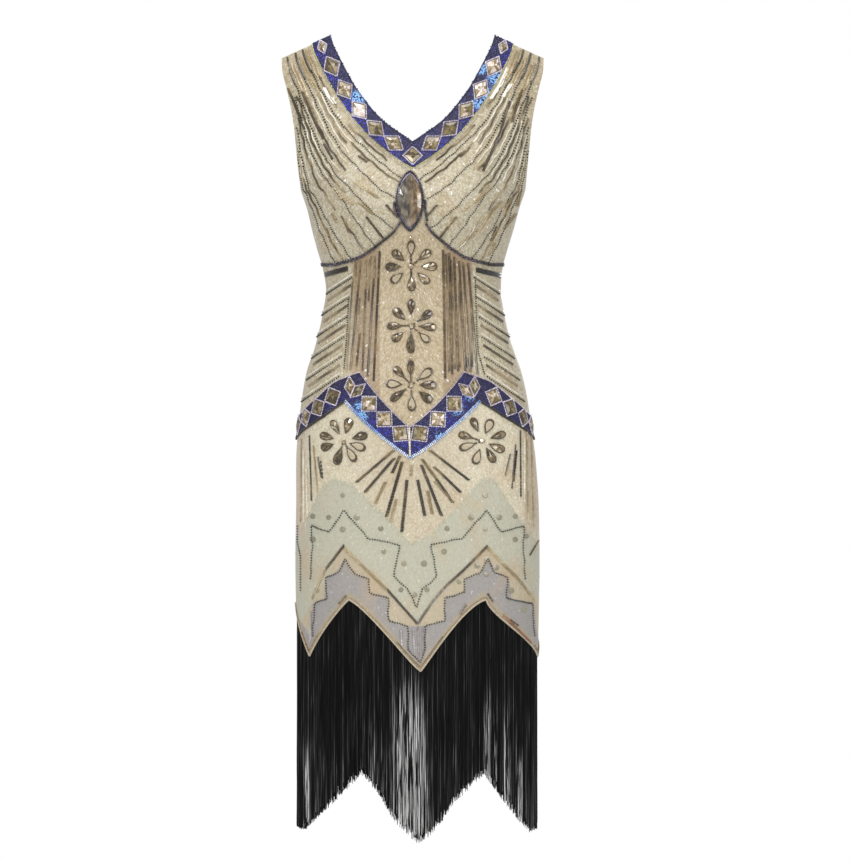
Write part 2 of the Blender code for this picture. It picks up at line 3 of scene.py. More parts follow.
import bmesh
import bpy
import numpy as np
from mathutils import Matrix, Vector


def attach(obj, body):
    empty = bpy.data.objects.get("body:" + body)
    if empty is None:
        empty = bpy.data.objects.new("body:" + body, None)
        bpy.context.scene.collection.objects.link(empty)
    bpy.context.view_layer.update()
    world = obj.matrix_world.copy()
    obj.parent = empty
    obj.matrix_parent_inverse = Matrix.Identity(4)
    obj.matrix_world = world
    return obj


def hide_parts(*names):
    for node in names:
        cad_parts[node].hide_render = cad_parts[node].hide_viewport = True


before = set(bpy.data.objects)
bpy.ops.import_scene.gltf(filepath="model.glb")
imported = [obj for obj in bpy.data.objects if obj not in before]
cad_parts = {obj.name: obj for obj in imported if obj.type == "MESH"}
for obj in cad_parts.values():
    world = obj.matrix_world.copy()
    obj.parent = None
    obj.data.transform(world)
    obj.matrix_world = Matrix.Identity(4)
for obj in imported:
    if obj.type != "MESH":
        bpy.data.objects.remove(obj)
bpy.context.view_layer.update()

# Millimetres on the dress, pixels of the 850 x 860 frame: x counts from its left, y from its top.
mm = 0.001
pixel = 1.3184
middleX, topY = 413.5, 36.0
scene = bpy.context.scene
rng = np.random.default_rng(7)


def table(names, rows):
    return dict(zip(names.split(), np.array(rows, float).T))


# the dress form, the same sizes as the solids
form = {
    "squareness": 2.2, "neckPoint": 108, "shoulderSlope": 0.45, "fadeFrom": 30, "fadeTo": 200,
    "cupAside": 76, "cupDrop": 212, "cupSpread": 45, "cupFullness": 10, "seam": 0.3,
}
sections = table("drop middle halfWidth front back", (
    (0, -1, 180, 0, 0), (10, -1, 180, 22, 24), (25, -1, 180, 40, 42), (50, -1, 180, 62, 60),
    (90, -1, 180, 83, 76), (130, -1, 176, 95.5, 85), (150, -1, 165, 101, 87.5),
    (177, -1, 154.5, 110, 89.5), (203, -0.5, 148.3, 117, 89), (229, -0.5, 139.8, 119, 86.5),
    (256, -1, 133, 114, 82.5), (282, -1.5, 125.5, 104, 76.5), (308, -1, 118.5, 95.8, 71),
    (335, 0, 115.4, 91, 68.5), (361, 0, 119, 89.8, 70.5), (388, 0, 124.5, 91, 75.5),
    (414, 0.5, 131.8, 93, 82.5), (440, 0.7, 141, 95.5, 90), (467, 1.3, 147, 98, 98),
    (493, 1.7, 151, 99.5, 104.5), (520, 2, 154.3, 101, 109), (560, 3.3, 158.2, 102, 112),
    (625, 5.3, 160.3, 102, 110), (690, 5.3, 161.2, 102, 107), (800, 5.3, 159.5, 103, 104),
    (1080, 6.3, 157.5, 104, 103),
))
neckEdge = table("drop aside", (
    (0, 108), (10, 105.5), (22, 100), (36, 93), (52, 84.5), (70, 74), (90, 59.5), (112, 40), (141, 0),
))
armholeEdge = table("drop aside", (
    (29.25, 173), (45, 172), (71, 166), (98, 160), (124, 156), (150, 153.6), (177, 151), (203, 148.3),
))
upperRows = table("inner outer", (
    (0, 29.25), (10, 42), (22, 56), (36, 71), (52, 88), (70, 106), (90, 126), (112, 147), (141, 168),
    (154, 186), (168, 203), (184, 228), (200, 253), (216, 278), (232, 302),
))
empireLine = table("angle drop", (
    (0, 232), (5, 245), (9, 259), (16, 272), (23, 283), (33, 293), (44, 298), (60, 302), (90, 302),
))
hemLine = table("angle drop bend", (
    (-90, 750, 1.2), (-62, 817, 1.05), (-32.3, 743, 1.35), (1.0, 837, 1.6), (32.3, 743, 0.65),
    (84, 818, 1.3), (147.7, 743, 1.5), (180, 828, 1.5), (212.3, 743, 1.1), (242, 815, 1.2),
    (270, 750, 1.2),
))
neckBand = table("row slant width", (
    (0, 24.2277, 26), (3, 26, 26), (5, 38, 26), (7, 54, 27), (8, 90, 34.5),
))
hipBand = table("column topAngle topDrop lowAngle lowDrop", (
    (0, 0, 517, 0, 554), (7, 26.7, 444, 33.5, 480), (10, 43, 457, 48, 499), (13, 57, 478, 60, 511),
    (16, 74, 496, 76, 523), (18, 90, 505, 90, 530),
))


def smooth(rows, key, name):
    # a column read on a curve that never overshoots its rows
    at, value = rows[key], rows[name]
    steps = np.diff(value) / np.diff(at)
    before, after = steps[:-1], steps[1:]
    turning = before * after <= 0
    mean = 2 * before * after / np.where(turning, 1, before + after)
    slope = np.concatenate([steps[:1], np.where(turning, 0, mean), steps[-1:]])

    def read(place):
        place = np.clip(place, at[0], at[-1])
        k = np.clip(np.searchsorted(at, place, side="right") - 1, 0, len(at) - 2)
        width = at[k + 1] - at[k]
        t = (place - at[k]) / width
        start = value[k] * (1 + 2 * t) + slope[k] * width * t
        end = value[k + 1] * (3 - 2 * t) + slope[k + 1] * width * (t - 1)
        return start * (1 - t) ** 2 + end * t ** 2
    return read


middle = smooth(sections, "drop", "middle")
halfWidth = smooth(sections, "drop", "halfWidth")
frontDepth = smooth(sections, "drop", "front")
backDepth = smooth(sections, "drop", "back")
neckAside = smooth(neckEdge, "drop", "aside")
armholeAside = smooth(armholeEdge, "drop", "aside")
empireAt = smooth(empireLine, "angle", "drop")
bandSlant = smooth(neckBand, "row", "slant")
bandWidth = smooth(neckBand, "row", "width")


def shoulderDrop(aside):
    return form["shoulderSlope"] * np.maximum(0, aside - form["neckPoint"])


def hemDrop(angle):
    angle = np.asarray(angle, float)
    at, drops = hemLine["angle"], hemLine["drop"]
    k = np.clip(np.searchsorted(at, angle, side="right") - 1, 0, len(at) - 2)
    share = (angle - at[k]) / (at[k + 1] - at[k])
    notch, point = np.minimum(drops[k], drops[k + 1]), np.maximum(drops[k], drops[k + 1])
    fromNotch = np.where(drops[k] == notch, share, 1 - share)
    return notch + (point - notch) * np.maximum(0, fromNotch) ** hemLine["bend"][k]


def angleOf(aside, drop):
    share = np.clip(np.abs(aside) / halfWidth(drop), 0, 1)
    return np.sign(aside) * np.degrees(np.arcsin(share ** (form["squareness"] / 2)))


def skin(angle, drop):
    # points on the cloth's outer side, in metres
    angle, drop = np.broadcast_arrays(np.asarray(angle, float), np.asarray(drop, float))
    turn = np.radians(angle)
    across = np.sign(np.sin(turn)) * np.abs(np.sin(turn)) ** (2 / form["squareness"])
    forward = np.sign(np.cos(turn)) * np.abs(np.cos(turn)) ** (2 / form["squareness"])
    aside = halfWidth(drop) * across
    faded = np.clip((drop - form["fadeFrom"]) / (form["fadeTo"] - form["fadeFrom"]), 0, 1)
    faded = faded * faded * (3 - 2 * faded)
    below = drop - shoulderDrop(np.abs(aside)) * (1 - faded)
    height = drop - form["cupDrop"]
    cups = sum(np.exp(-((aside - cup) ** 2 + height ** 2) / (2 * form["cupSpread"] ** 2))
               for cup in (-form["cupAside"], form["cupAside"]))
    front = frontDepth(below) + form["cupFullness"] * cups * forward
    y = -forward * np.where(forward > 0, front, backDepth(below))
    return np.stack([aside + middle(drop), y, -drop], -1) * mm


def skinNormal(angle, drop):
    step = 0.5
    roundIt = skin(angle + step, drop) - skin(angle - step, drop)
    downIt = skin(angle, drop + step) - skin(angle, drop - step)
    normal = np.cross(downIt, roundIt)
    return normal / np.linalg.norm(normal, axis=-1, keepdims=True)


def onCloth(angle, drop, lift, facing=0, hand=0):
    # facing moves a piece clear of the side seams, and hand of the centre seam
    angle, drop = np.broadcast_arrays(np.asarray(angle, float), np.asarray(drop, float))
    point, normal = skin(angle, drop), skinNormal(angle, drop)
    if facing:
        onSeam = np.abs(point[..., 1]) < 2e-6
        point[..., 1] = np.where(onSeam, 0, point[..., 1]) + facing * form["seam"] / 2 * mm
        normal[..., 1] = np.where(onSeam, 0, normal[..., 1])
    if hand:
        onSeam = (angle == 0) | (angle == 180)
        normal[..., 0] = np.where(onSeam, 0, normal[..., 0])
        point[..., 0] += np.where(onSeam, hand * form["seam"] / 2 * mm, 0)
    normal /= np.linalg.norm(normal, axis=-1, keepdims=True)
    return point + normal * np.asarray(lift, float)[..., None] * mm


def framePlace(x, y):
    # pixels of the frame to (angle, drop) on the front
    x, y = np.asarray(x, float), np.asarray(y, float)
    drop = (y - topY) * pixel
    return angleOf((x - middleX) * pixel - middle(drop), drop), drop


def toFrame(angle, drop):
    point = skin(angle, drop)
    return np.stack([point[..., 0] / mm / pixel + middleX, -point[..., 2] / mm / pixel + topY], -1)


def lengthAlong(points):
    return np.concatenate([[0], np.cumsum(np.linalg.norm(np.diff(points, axis=0), axis=1))])


def denser(points, step=1.1):
    # a polyline with points about step apart
    points = np.asarray(points, float)
    along = lengthAlong(points)
    at = np.linspace(0, along[-1], max(2, int(along[-1] / step) + 1))
    return np.stack([np.interp(at, along, points[:, k]) for k in range(points.shape[1])], 1)


def layLine(points, lift):
    # a line of frame pixels laid on the front, lift millimetres above the cloth
    points = denser(points)
    angle, drop = framePlace(points[:, 0], points[:, 1])
    return onCloth(angle, drop, lift)


def paint(code):
    # a colour such as "#d8c3a0" as the linear numbers that a shader takes
    parts = [int(code[k:k + 2], 16) / 255 for k in (1, 3, 5)]
    return [c / 12.92 if c <= 0.04045 else ((c + 0.055) / 1.055) ** 2.4 for c in parts] + [1.0]


class Nodes:
    # short ways to add nodes to a tree
    def join(self, value, socket):
        if isinstance(value, bpy.types.NodeSocket):
            self.tree.links.new(value, socket)
        else:
            socket.default_value = value

    def add(self, kind, inputs=None, **settings):
        node = self.tree.nodes.new(kind)
        for label, value in settings.items():
            setattr(node, label, value)
        for label, value in (inputs or {}).items():
            self.join(value, node.inputs[label])
        return node

    def flow(self, kind, inputs=None, **settings):
        # adds a node and gives its first output
        return self.add(kind, inputs, **settings).outputs[0]

    def math(self, operation, a, b=0.0, c=0.0):
        return self.flow("ShaderNodeMath", {0: a, 1: b, 2: c}, operation=operation)

    def times(self, product, *factors):
        for factor in factors:
            product = self.math("MULTIPLY", product, factor)
        return product


class Finish(Nodes):
    # a material and its shader nodes
    def __init__(self, name, **sockets):
        self.material = bpy.data.materials.new(name)
        self.material.use_nodes = True
        self.tree = self.material.node_tree
        self.shader = self.tree.nodes["Principled BSDF"]
        for label, value in sockets.items():
            self.shader.inputs[label.replace("_", " ")].default_value = value

    def spot(self):
        return self.add("ShaderNodeTexCoord").outputs["Object"]

    def rest(self, value):
        return self.math("SUBTRACT", 1.0, value)

    def rise(self):
        # metres above the hem
        return self.split(self.uv("hem"))[1]

    def split(self, vector):
        return self.add("ShaderNodeSeparateXYZ", {"Vector": vector}).outputs

    def noise(self, vector, scale, detail=2.0):
        return self.flow("ShaderNodeTexNoise", {"Vector": vector, "Scale": scale, "Detail": detail})

    def step(self, value, low, high):
        # 0 below low and 1 above high, smooth between
        return self.add("ShaderNodeMapRange", {"Value": value, "From Min": low, "From Max": high},
                        interpolation_type="SMOOTHSTEP").outputs[0]

    def mix(self, share, a, b, blend="MIX"):
        return self.add("ShaderNodeMix", {0: share, 6: a, 7: b}, data_type="RGBA",
                        blend_type=blend).outputs[2]

    def ramp(self, value, stops):
        node = self.add("ShaderNodeValToRGB", {"Fac": value})
        while len(node.color_ramp.elements) < len(stops):
            node.color_ramp.elements.new(0.5)
        for element, (place, colour) in zip(node.color_ramp.elements, stops):
            element.position = place
            element.color = paint(colour)
        return node.outputs[0]

    def uv(self, name):
        return self.add("ShaderNodeUVMap", uv_map=name).outputs[0]

    def attribute(self, name):
        return self.add("ShaderNodeAttribute", attribute_name=name).outputs["Fac"]

    def colour(self, socket):
        self.tree.links.new(socket, self.shader.inputs["Base Color"])

    def rough(self, socket):
        self.tree.links.new(socket, self.shader.inputs["Roughness"])

    def bump(self, height, strength, distance):
        node = self.add("ShaderNodeBump", {"Height": height, "Strength": strength, "Distance": distance})
        self.tree.links.new(node.outputs[0], self.shader.inputs["Normal"])


def addItem(name, data):
    item = bpy.data.objects.new(name, data)
    scene.collection.objects.link(item)
    return item


def storePlan(data, label, values):
    # a UV map from one pair of values for each vertex
    corner = np.zeros(len(data.loops), np.int32)
    data.loops.foreach_get("vertex_index", corner)
    layer = data.uv_layers.new(name=label)
    layer.data.foreach_set("uv", np.asarray(values, np.float32)[corner].ravel())


def storeMesh(name, verts, faces, material, uvs=None, smoothly=True, faceShades=None):
    data = bpy.data.meshes.new(name)
    data.from_pydata([tuple(v) for v in verts], [], [tuple(int(i) for i in f) for f in faces])
    for label, values in (uvs or {}).items():
        storePlan(data, label, values)
    if faceShades is not None:
        layer = data.attributes.new("facet", "FLOAT", "FACE")
        layer.data.foreach_set("value", np.asarray(faceShades, np.float32))
    data.materials.append(material)
    if smoothly:
        data.shade_smooth()
    data.update()
    return addItem(name, data)


def gridQuads(index):
    # the four corners of each cell in a grid of vertex numbers
    return np.stack([index[:-1, :-1], index[1:, :-1], index[1:, 1:], index[:-1, 1:]], -1).reshape(-1, 4)


def gridWall(name, angle, drop, low, high, material, facing=0, hand=0):
    # a thin wall over a grid of (angle, drop), with its plan and its weave as UV maps
    outer = onCloth(angle, drop, np.full(angle.shape, high), facing, hand)
    inner = onCloth(angle, drop, np.full(angle.shape, low), facing, hand)
    rows, columns = angle.shape
    index = np.arange(rows * columns).reshape(rows, columns)
    quads = gridQuads(index)
    under = rows * columns
    rim = np.concatenate([index[:, 0], index[-1, 1:], index[::-1, -1][1:], index[0, ::-1][1:-1]])
    nextRim = np.roll(rim, -1)
    sides = np.stack([nextRim, rim, rim + under, nextRim + under], 1)
    faces = np.concatenate([quads, quads[:, ::-1] + under, sides])
    across = np.linalg.norm(np.diff(outer, axis=1), axis=2)
    down = np.linalg.norm(np.diff(outer, axis=0), axis=2)
    u = np.concatenate([np.zeros((rows, 1)), np.cumsum(across, 1)], 1)
    u -= u[:, columns // 2][:, None] if facing < 0 and not hand else 0
    v = np.concatenate([np.zeros((1, columns)), np.cumsum(down, 0)], 0)
    plan = np.stack([outer[..., 0] + 0.5, -outer[..., 2]], -1).reshape(-1, 2)
    weave = np.stack([u, v], -1).reshape(-1, 2)
    verts = np.concatenate([outer.reshape(-1, 3), inner.reshape(-1, 3)])
    item = storeMesh(name, verts, faces, material,
                     {"plan": np.tile(plan, (2, 1)), "weave": np.tile(weave, (2, 1))})
    item["cut"] = [float(u[:, -1].max() - u[:, 0].min()), float(v[-1].max())]
    item.data.set_sharp_from_angle(angle=radians(50))
    return item


class Growth(Nodes):
    # a tree of geometry nodes that lays beads, sequins or strands
    def __init__(self, name, inputs):
        self.tree = bpy.data.node_groups.new(name, "GeometryNodeTree")
        face = self.tree.interface
        face.new_socket("Geometry", in_out="INPUT", socket_type="NodeSocketGeometry")
        for label, kind, value in (*inputs, ("Finish", "Material", None)):
            socket = face.new_socket(label, in_out="INPUT", socket_type="NodeSocket" + kind)
            if value is not None:
                socket.default_value = value
        face.new_socket("Geometry", in_out="OUTPUT", socket_type="NodeSocketGeometry")
        self.given = self.tree.nodes.new("NodeGroupInput").outputs
        self.sink = self.tree.nodes.new("NodeGroupOutput")

    def vector(self, x, y, z):
        return self.flow("ShaderNodeCombineXYZ", {0: x, 1: y, 2: z})

    def shift(self, operation, vector, other):
        return self.flow("ShaderNodeVectorMath", {0: vector, 1: other}, operation=operation)

    def vary(self, low, high, seed):
        return self.add("FunctionNodeRandomValue", {2: low, 3: high, "Seed": seed},
                        data_type="FLOAT").outputs[1]

    def along(self, path, spacing):
        even = self.flow("GeometryNodeResampleCurve", {"Curve": path, "Length": spacing}, mode="LENGTH")
        return self.add("GeometryNodeCurveToPoints", {"Curve": even}, mode="EVALUATED").outputs

    def mark(self, geometry, name, value, domain):
        return self.flow("GeometryNodeStoreNamedAttribute",
                         {"Geometry": geometry, "Name": name, "Value": value},
                         data_type="FLOAT", domain=domain)

    def recall(self, name):
        return self.flow("GeometryNodeInputNamedAttribute", {"Name": name}, data_type="FLOAT")

    def shaded(self, geometry, seed):
        # gives each piece its own shade from 0 to 1 and makes the pieces real
        marked = self.mark(geometry, "shade", self.vary(0.0, 1.0, seed), "INSTANCE")
        return self.flow("GeometryNodeRealizeInstances", {"Geometry": marked})

    def finished(self, geometry):
        done = self.flow("GeometryNodeSetMaterial", {"Geometry": geometry,
                                                     "Material": self.given["Finish"]})
        self.join(done, self.sink.inputs[0])
        return self.tree


def keepMesh(item, name):
    # a plain mesh of what the item's modifiers or bevel make, in the item's place
    bpy.context.view_layer.update()
    depsgraph = bpy.context.evaluated_depsgraph_get()
    data = bpy.data.meshes.new_from_object(item.evaluated_get(depsgraph))
    data.name = name
    made = addItem(name, data)
    source = item.data
    bpy.data.objects.remove(item)
    if isinstance(source, bpy.types.Curve):
        bpy.data.curves.remove(source)
    return made


def runTree(item, tree, name, **values):
    # sets the modifier's inputs by their identifiers
    modifier = item.modifiers.new("nodes", "NODES")
    modifier.node_group = tree
    for socket in tree.interface.items_tree:
        if socket.in_out == "INPUT" and socket.name in values:
            modifier[socket.identifier] = values[socket.name]
    return keepMesh(item, name)


def pathObject(name, lines, radii=None):
    curve = bpy.data.curves.new(name, "CURVE")
    curve.dimensions = "3D"
    for line in lines:
        spline = curve.splines.new("POLY")
        spline.points.add(len(line) - 1)
        flat = np.concatenate([line, np.ones((len(line), 1))], 1)
        spline.points.foreach_set("co", flat.astype(np.float32).ravel())
        if radii is not None:
            spline.points.foreach_set("radius", radii.astype(np.float32))
    return addItem(name, curve)


def makeBeadTree():
    growth = Growth("beadsOnPath", (
        ("Spacing", "Float", 0.002), ("Bead Radius", "Float", 0.0009), ("Bead Length", "Float", 0.0016),
        ("Roundness", "Float", 1.0), ("Size Spread", "Float", 0.12), ("Seed", "Int", 3)))
    given = growth.given
    radius, spread = given["Bead Radius"], given["Size Spread"]
    points = growth.along(given[0], given["Spacing"])
    ball = growth.flow("GeometryNodeMeshUVSphere", {"Segments": 6, "Rings": 4, "Radius": radius})
    squashed = growth.flow("GeometryNodeTransform", {"Geometry": ball, "Scale": (1, 1, 0.8)})
    tube = growth.flow("GeometryNodeMeshCylinder", {"Vertices": 6, "Radius": radius,
                                                    "Depth": given["Bead Length"]})
    isBall = growth.flow("FunctionNodeCompare", {0: given["Roundness"], 1: 0.5}, data_type="FLOAT",
                         operation="GREATER_THAN")
    shape = growth.flow("GeometryNodeSwitch", {"Switch": isBall, "False": tube, "True": squashed},
                        input_type="GEOMETRY")
    low, high = (growth.math(operation, 1.0, spread) for operation in ("SUBTRACT", "ADD"))
    beads = growth.flow("GeometryNodeInstanceOnPoints", {
        "Points": points["Points"], "Instance": shape, "Rotation": points["Rotation"],
        "Scale": growth.vary(low, high, given["Seed"])})
    return growth.finished(growth.shaded(beads, 11))


def makeSequinTree():
    growth = Growth("sequinsOnCloth", (
        ("Gap", "Float", 0.0022), ("Density", "Float", 300000.0), ("Sequin Radius", "Float", 0.0015),
        ("Cup Depth", "Float", 0.0004), ("Tilt", "Float", 0.12), ("Seed", "Int", 5)))
    given = growth.given
    spots = growth.add("GeometryNodeDistributePointsOnFaces", {
        "Mesh": given[0], "Distance Min": given["Gap"], "Density Max": given["Density"],
        "Seed": given["Seed"]}, distribute_method="POISSON").outputs
    disc = growth.flow("GeometryNodeMeshCone", {
        "Vertices": 7, "Radius Top": 0.0004, "Radius Bottom": given["Sequin Radius"],
        "Depth": given["Cup Depth"]})
    less = growth.times(given["Tilt"], -1.0)
    tilt = growth.flow("FunctionNodeRandomValue", {
        0: growth.vector(less, less, 0.0), 1: growth.vector(given["Tilt"], given["Tilt"], 6.28),
        "Seed": given["Seed"]}, data_type="FLOAT_VECTOR")
    tiltTurn = growth.flow("FunctionNodeEulerToRotation", {0: tilt})
    turned = growth.flow("FunctionNodeRotateRotation", {0: spots["Rotation"], 1: tiltTurn},
                         rotation_space="LOCAL")
    discs = growth.flow("GeometryNodeInstanceOnPoints", {
        "Points": spots["Points"], "Instance": disc, "Rotation": turned})
    return growth.finished(growth.shaded(discs, 4))


def makeStrandTree():
    growth = Growth("strandsOnPath", (
        ("Pitch", "Float", 0.0006), ("Strand Length", "Float", 0.224), ("Length Spread", "Float", 0.02),
        ("Strand Radius", "Float", 0.00045), ("Wave", "Float", 0.003), ("Seed", "Int", 2)))
    given = growth.given
    roots = growth.along(given[0], given["Pitch"])
    end = growth.vector(0.0, 0.0, growth.times(given["Strand Length"], -1.0))
    strand = growth.flow("GeometryNodeCurvePrimitiveLine", {"End": end})
    fine = growth.flow("GeometryNodeResampleCurve", {"Curve": strand, "Count": 13}, mode="COUNT")
    factor = growth.add("GeometryNodeSplineParameter").outputs["Factor"]
    kept = growth.mark(fine, "along", factor, "POINT")
    spread = growth.vary(growth.math("SUBTRACT", 1.0, given["Length Spread"]), 1.0, given["Seed"])
    # the path's radius lengthens the strands
    longer = growth.times(growth.flow("GeometryNodeInputRadius"), spread)
    hung = growth.flow("GeometryNodeInstanceOnPoints", {
        "Points": roots["Points"], "Instance": kept, "Scale": growth.vector(1.0, 1.0, longer)})
    real = growth.shaded(hung, 9)
    # each strand sways on its own, more so lower down
    spot = growth.shift("MULTIPLY", growth.flow("GeometryNodeInputPosition"), (60.0, 60.0, 9.0))
    noise = growth.add("ShaderNodeTexNoise", {"Vector": spot, "W": growth.recall("shade"), "Scale": 1.0,
                                              "Detail": 1.0}, noise_dimensions="4D").outputs["Color"]
    flat = growth.shift("MULTIPLY", growth.shift("SUBTRACT", noise, (0.5, 0.5, 0.5)), (1.0, 1.0, 0.0))
    weight = growth.times(growth.recall("along"), given["Wave"])
    sway = growth.flow("ShaderNodeVectorMath", {0: flat, "Scale": weight}, operation="SCALE")
    moved = growth.flow("GeometryNodeSetPosition", {"Geometry": real, "Offset": sway})
    ring = growth.flow("GeometryNodeCurvePrimitiveCircle",
                       {"Resolution": 3, "Radius": given["Strand Radius"]})
    tubes = growth.flow("GeometryNodeCurveToMesh", {"Curve": moved, "Profile Curve": ring,
                                                    "Fill Caps": True})
    return growth.finished(tubes)


beadTree, sequinTree, strandTree = makeBeadTree(), makeSequinTree(), makeStrandTree()


def layBeads(name, lines, material, bead):
    # bead: spacing, radius, length in millimetres, round or not
    made = runTree(pathObject(name + "Path", lines), beadTree, name, Finish=material, **{
        "Spacing": bead["spacing"] * mm, "Bead Radius": bead["radius"] * mm,
        "Bead Length": bead.get("length", 0) * mm, "Roundness": 1.0 if bead.get("round", True) else 0.0,
        "Size Spread": 0.1})
    made.data.shade_smooth()
    if not bead.get("round", True):
        made.data.set_sharp_from_angle(angle=radians(50))
    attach(made, "dress")
    return made


print("scene: helpers ready")


def upperRow(row, name):
    return np.interp(row, range(len(upperRows[name])), upperRows[name])


def neckCrossing(row, share):
    inner = upperRow(row, "inner")
    slant = np.radians(bandSlant(row))
    along = bandWidth(row) * share
    aside = neckAside(inner) + along * np.cos(slant) * (row < 8)
    down = np.where(row > 0, inner + along * np.sin(slant), shoulderDrop(aside))
    return angleOf(aside, down), down


def hipCrossing(column, share):
    place = np.abs(column)
    ends = [np.interp(place, hipBand["column"], hipBand[name])
            for name in ("topAngle", "lowAngle", "topDrop", "lowDrop")]
    angle = ends[0] + (ends[1] - ends[0]) * share
    return np.sign(column) * angle, ends[2] + (ends[3] - ends[2]) * share


class Strip:
    # a band read by the length from its centre, in millimetres, and the share across it
    def __init__(self, crossing, first, last, depth, lean=0.0):
        # depth 0 measures the length as seen from the front, and lean turns the front's middle in degrees
        rows = np.linspace(first, last, 241)
        angle, drop = crossing(rows, np.full(rows.shape, 0.5))
        steps = np.linalg.norm(np.diff(skin(angle, drop) * (1, depth, 1), axis=0), axis=1) / mm
        length = np.concatenate([[0], np.cumsum(steps)])
        self.rows, self.length, self.crossing, self.lean = rows, length, crossing, lean
        self.total = length[-1]

    def place(self, along, share):
        along, share = np.broadcast_arrays(np.asarray(along, float), np.asarray(share, float))
        row = np.interp(np.abs(along), self.length, self.rows)
        angle, drop = self.crossing(row, share)
        angle = np.abs(angle)
        return np.where(along < 0, -1, 1) * angle + self.lean * (1 - angle / 90), drop

    def onBack(self, along, share):
        angle, drop = self.place(along, share)
        return 180 - angle, drop

    def around(self, along, share, front=True):
        # a placing function square to the band round one spot of it
        place = self.place if front else self.onBack
        angle, drop = (value[()] for value in place(along, share))
        nextAngle, nextDrop = place(along + np.array([-9.0, 9.0]), share)
        rate = np.linalg.norm(skin(angle + 0.5, drop) - skin(angle - 0.5, drop)) / mm
        run = np.array([(nextAngle[1] - nextAngle[0]) * rate, nextDrop[1] - nextDrop[0]])
        run /= np.linalg.norm(run)
        down = np.array([-run[1], run[0]]) * (1 if run[0] > 0 else -1)

        def spot(p, q):
            return angle + (p * run[0] + q * down[0]) / rate, drop + p * run[1] + q * down[1]
        return spot


neckStrip = Strip(neckCrossing, 8, 0, 0)
hipStrip = Strip(hipCrossing, 0, 18, 1, -2.0)
hipStripBehind = Strip(hipCrossing, 0, 18, 1)


def beadedNet(name, ground, tan, seed=0.0, plain=None):
    # a net of small cream beads: one cell of the pattern is a bead, and plain is where few are sewn
    finish = Finish(name, Roughness=0.42, Specular_IOR_Level=0.6, Sheen_Weight=0.15, Sheen_Roughness=0.5)
    weave = finish.uv("weave")
    moved = finish.add("ShaderNodeMapping", {"Vector": weave, "Location": (seed, seed * 2, 0)}).outputs[0]
    cells = finish.add("ShaderNodeTexVoronoi", {"Vector": moved, "Scale": 430.0, "Randomness": 0.75})
    bits = finish.add("ShaderNodeSeparateColor", {"Color": cells.outputs["Color"]})
    bright = finish.ramp(bits.outputs[0], (
        (0.0, "#cbc4b6"), (0.12, "#dfd9cb"), (0.5, "#f3efe5"), (0.86, "#ffffff"), (1.0, "#ffffff")))
    cloud = finish.noise(moved, 16.0, 3.0)
    warm = finish.times(finish.step(cloud, 0.5, 0.72), 0.4)
    base = finish.mix(warm, ground(finish), paint(tan))
    dense = finish.rest(finish.times(plain(finish), 0.65)) if plain else 1.0
    beads = finish.mix(dense, base, bright, blend="MULTIPLY")
    gap = finish.step(cells.outputs["Distance"], 0.42, 0.72)
    netted = finish.mix(finish.times(gap, 0.4, dense), beads, paint("#8d8064"))
    # a few cells painted near white: painted sparkle highlights on the beads
    paintedSparkle = finish.times(finish.step(bits.outputs[1], 0.988, 0.995), dense)
    finish.colour(finish.mix(finish.times(paintedSparkle, 0.7), netted, paint("#fffdf6")))
    shiny = finish.times(bits.outputs[2], 0.3, dense)
    finish.rough(finish.math("SUBTRACT", 0.66, shiny))
    height = finish.rest(finish.math("POWER", cells.outputs["Distance"], 2.0))
    finish.bump(finish.times(height, dense), 0.45, 0.0006)
    return finish.material


def framed(finish):
    # the plan of the front in frame pixels
    plan = finish.split(finish.uv("plan"))
    across = finish.math("MULTIPLY_ADD", plan[0], 1 / (pixel * mm), middleX - 0.5 / (pixel * mm))
    down = finish.math("MULTIPLY_ADD", plan[1], 1 / (pixel * mm), topY)
    return across, down


def zone(finish, across, down, edge, soft=1.2):
    # 1 below a line of frame pixels and 0 above it
    left, right = 285.0, 545.0
    node = finish.add("ShaderNodeFloatCurve", {
        "Value": finish.math("DIVIDE", finish.math("SUBTRACT", across, left), right - left)})
    curve = node.mapping.curves[0]
    places = [((x - left) / (right - left), y / 860) for x, y in edge]
    curve.points[0].location, curve.points[-1].location = places[0], places[-1]
    for x, y in places[1:-1]:
        curve.points.new(x, y)
    for point in curve.points:
        point.handle_type = "VECTOR"
    node.mapping.update()
    return finish.step(finish.math("SUBTRACT", down, finish.times(node.outputs[0], 860.0)), -soft, soft)


# two stepped lines near the hem: half of each is a stair of moves, in frame pixels outwards and down
steps = {
    "wander": 0.55, "middles": (415.3, 416.6), "leans": (2.5, 7), "leanFrom": 90, "leanTo": 105,
    "tips": ((416.5, 606), (420, 662)), "starts": ((7.5, 588), (8.5, 648)),
    "moves": {"riser": (0, -23), "tread": (19.5, -5), "short riser": (0, -14), "short tread": (15, -5),
              "crest": (8.5, -15), "crest down": (5.5, 13), "tread down": (14, 6), "riser down": (-1, 21),
              "wide tread down": (19, 5), "end": (2, 32), "lobe": (14, -12), "lobe side": (-6, -32),
              "long tread": (31, -6), "slope": (24.5, -28), "slope down": (15, 22), "back up": (20, -7)},
    "stairs": (("lobe", "lobe side", "long tread", "slope", "slope down", "back up", "riser down", "end"),
               ("riser", "tread", "riser", "tread", "short riser", "short tread", "crest", "crest down",
                "tread down", "riser down", "wide tread down", "end")),
}


def stairHalf(number):
    moves = [steps["moves"][name] for name in steps["stairs"][number]]
    return np.cumsum([steps["starts"][number], *moves], axis=0)


def bothHalves(number, half):
    reach = steps["leanTo"] - steps["leanFrom"]
    leaning = np.clip((half[:, 0] - steps["leanFrom"]) / reach, 0, 1)
    middleAt = steps["middles"][number] + steps["leans"][number] * leaning
    left, right = (np.stack([middleAt + side * half[:, 0], half[:, 1]], 1) for side in (-1, 1))
    return left[::-1], right


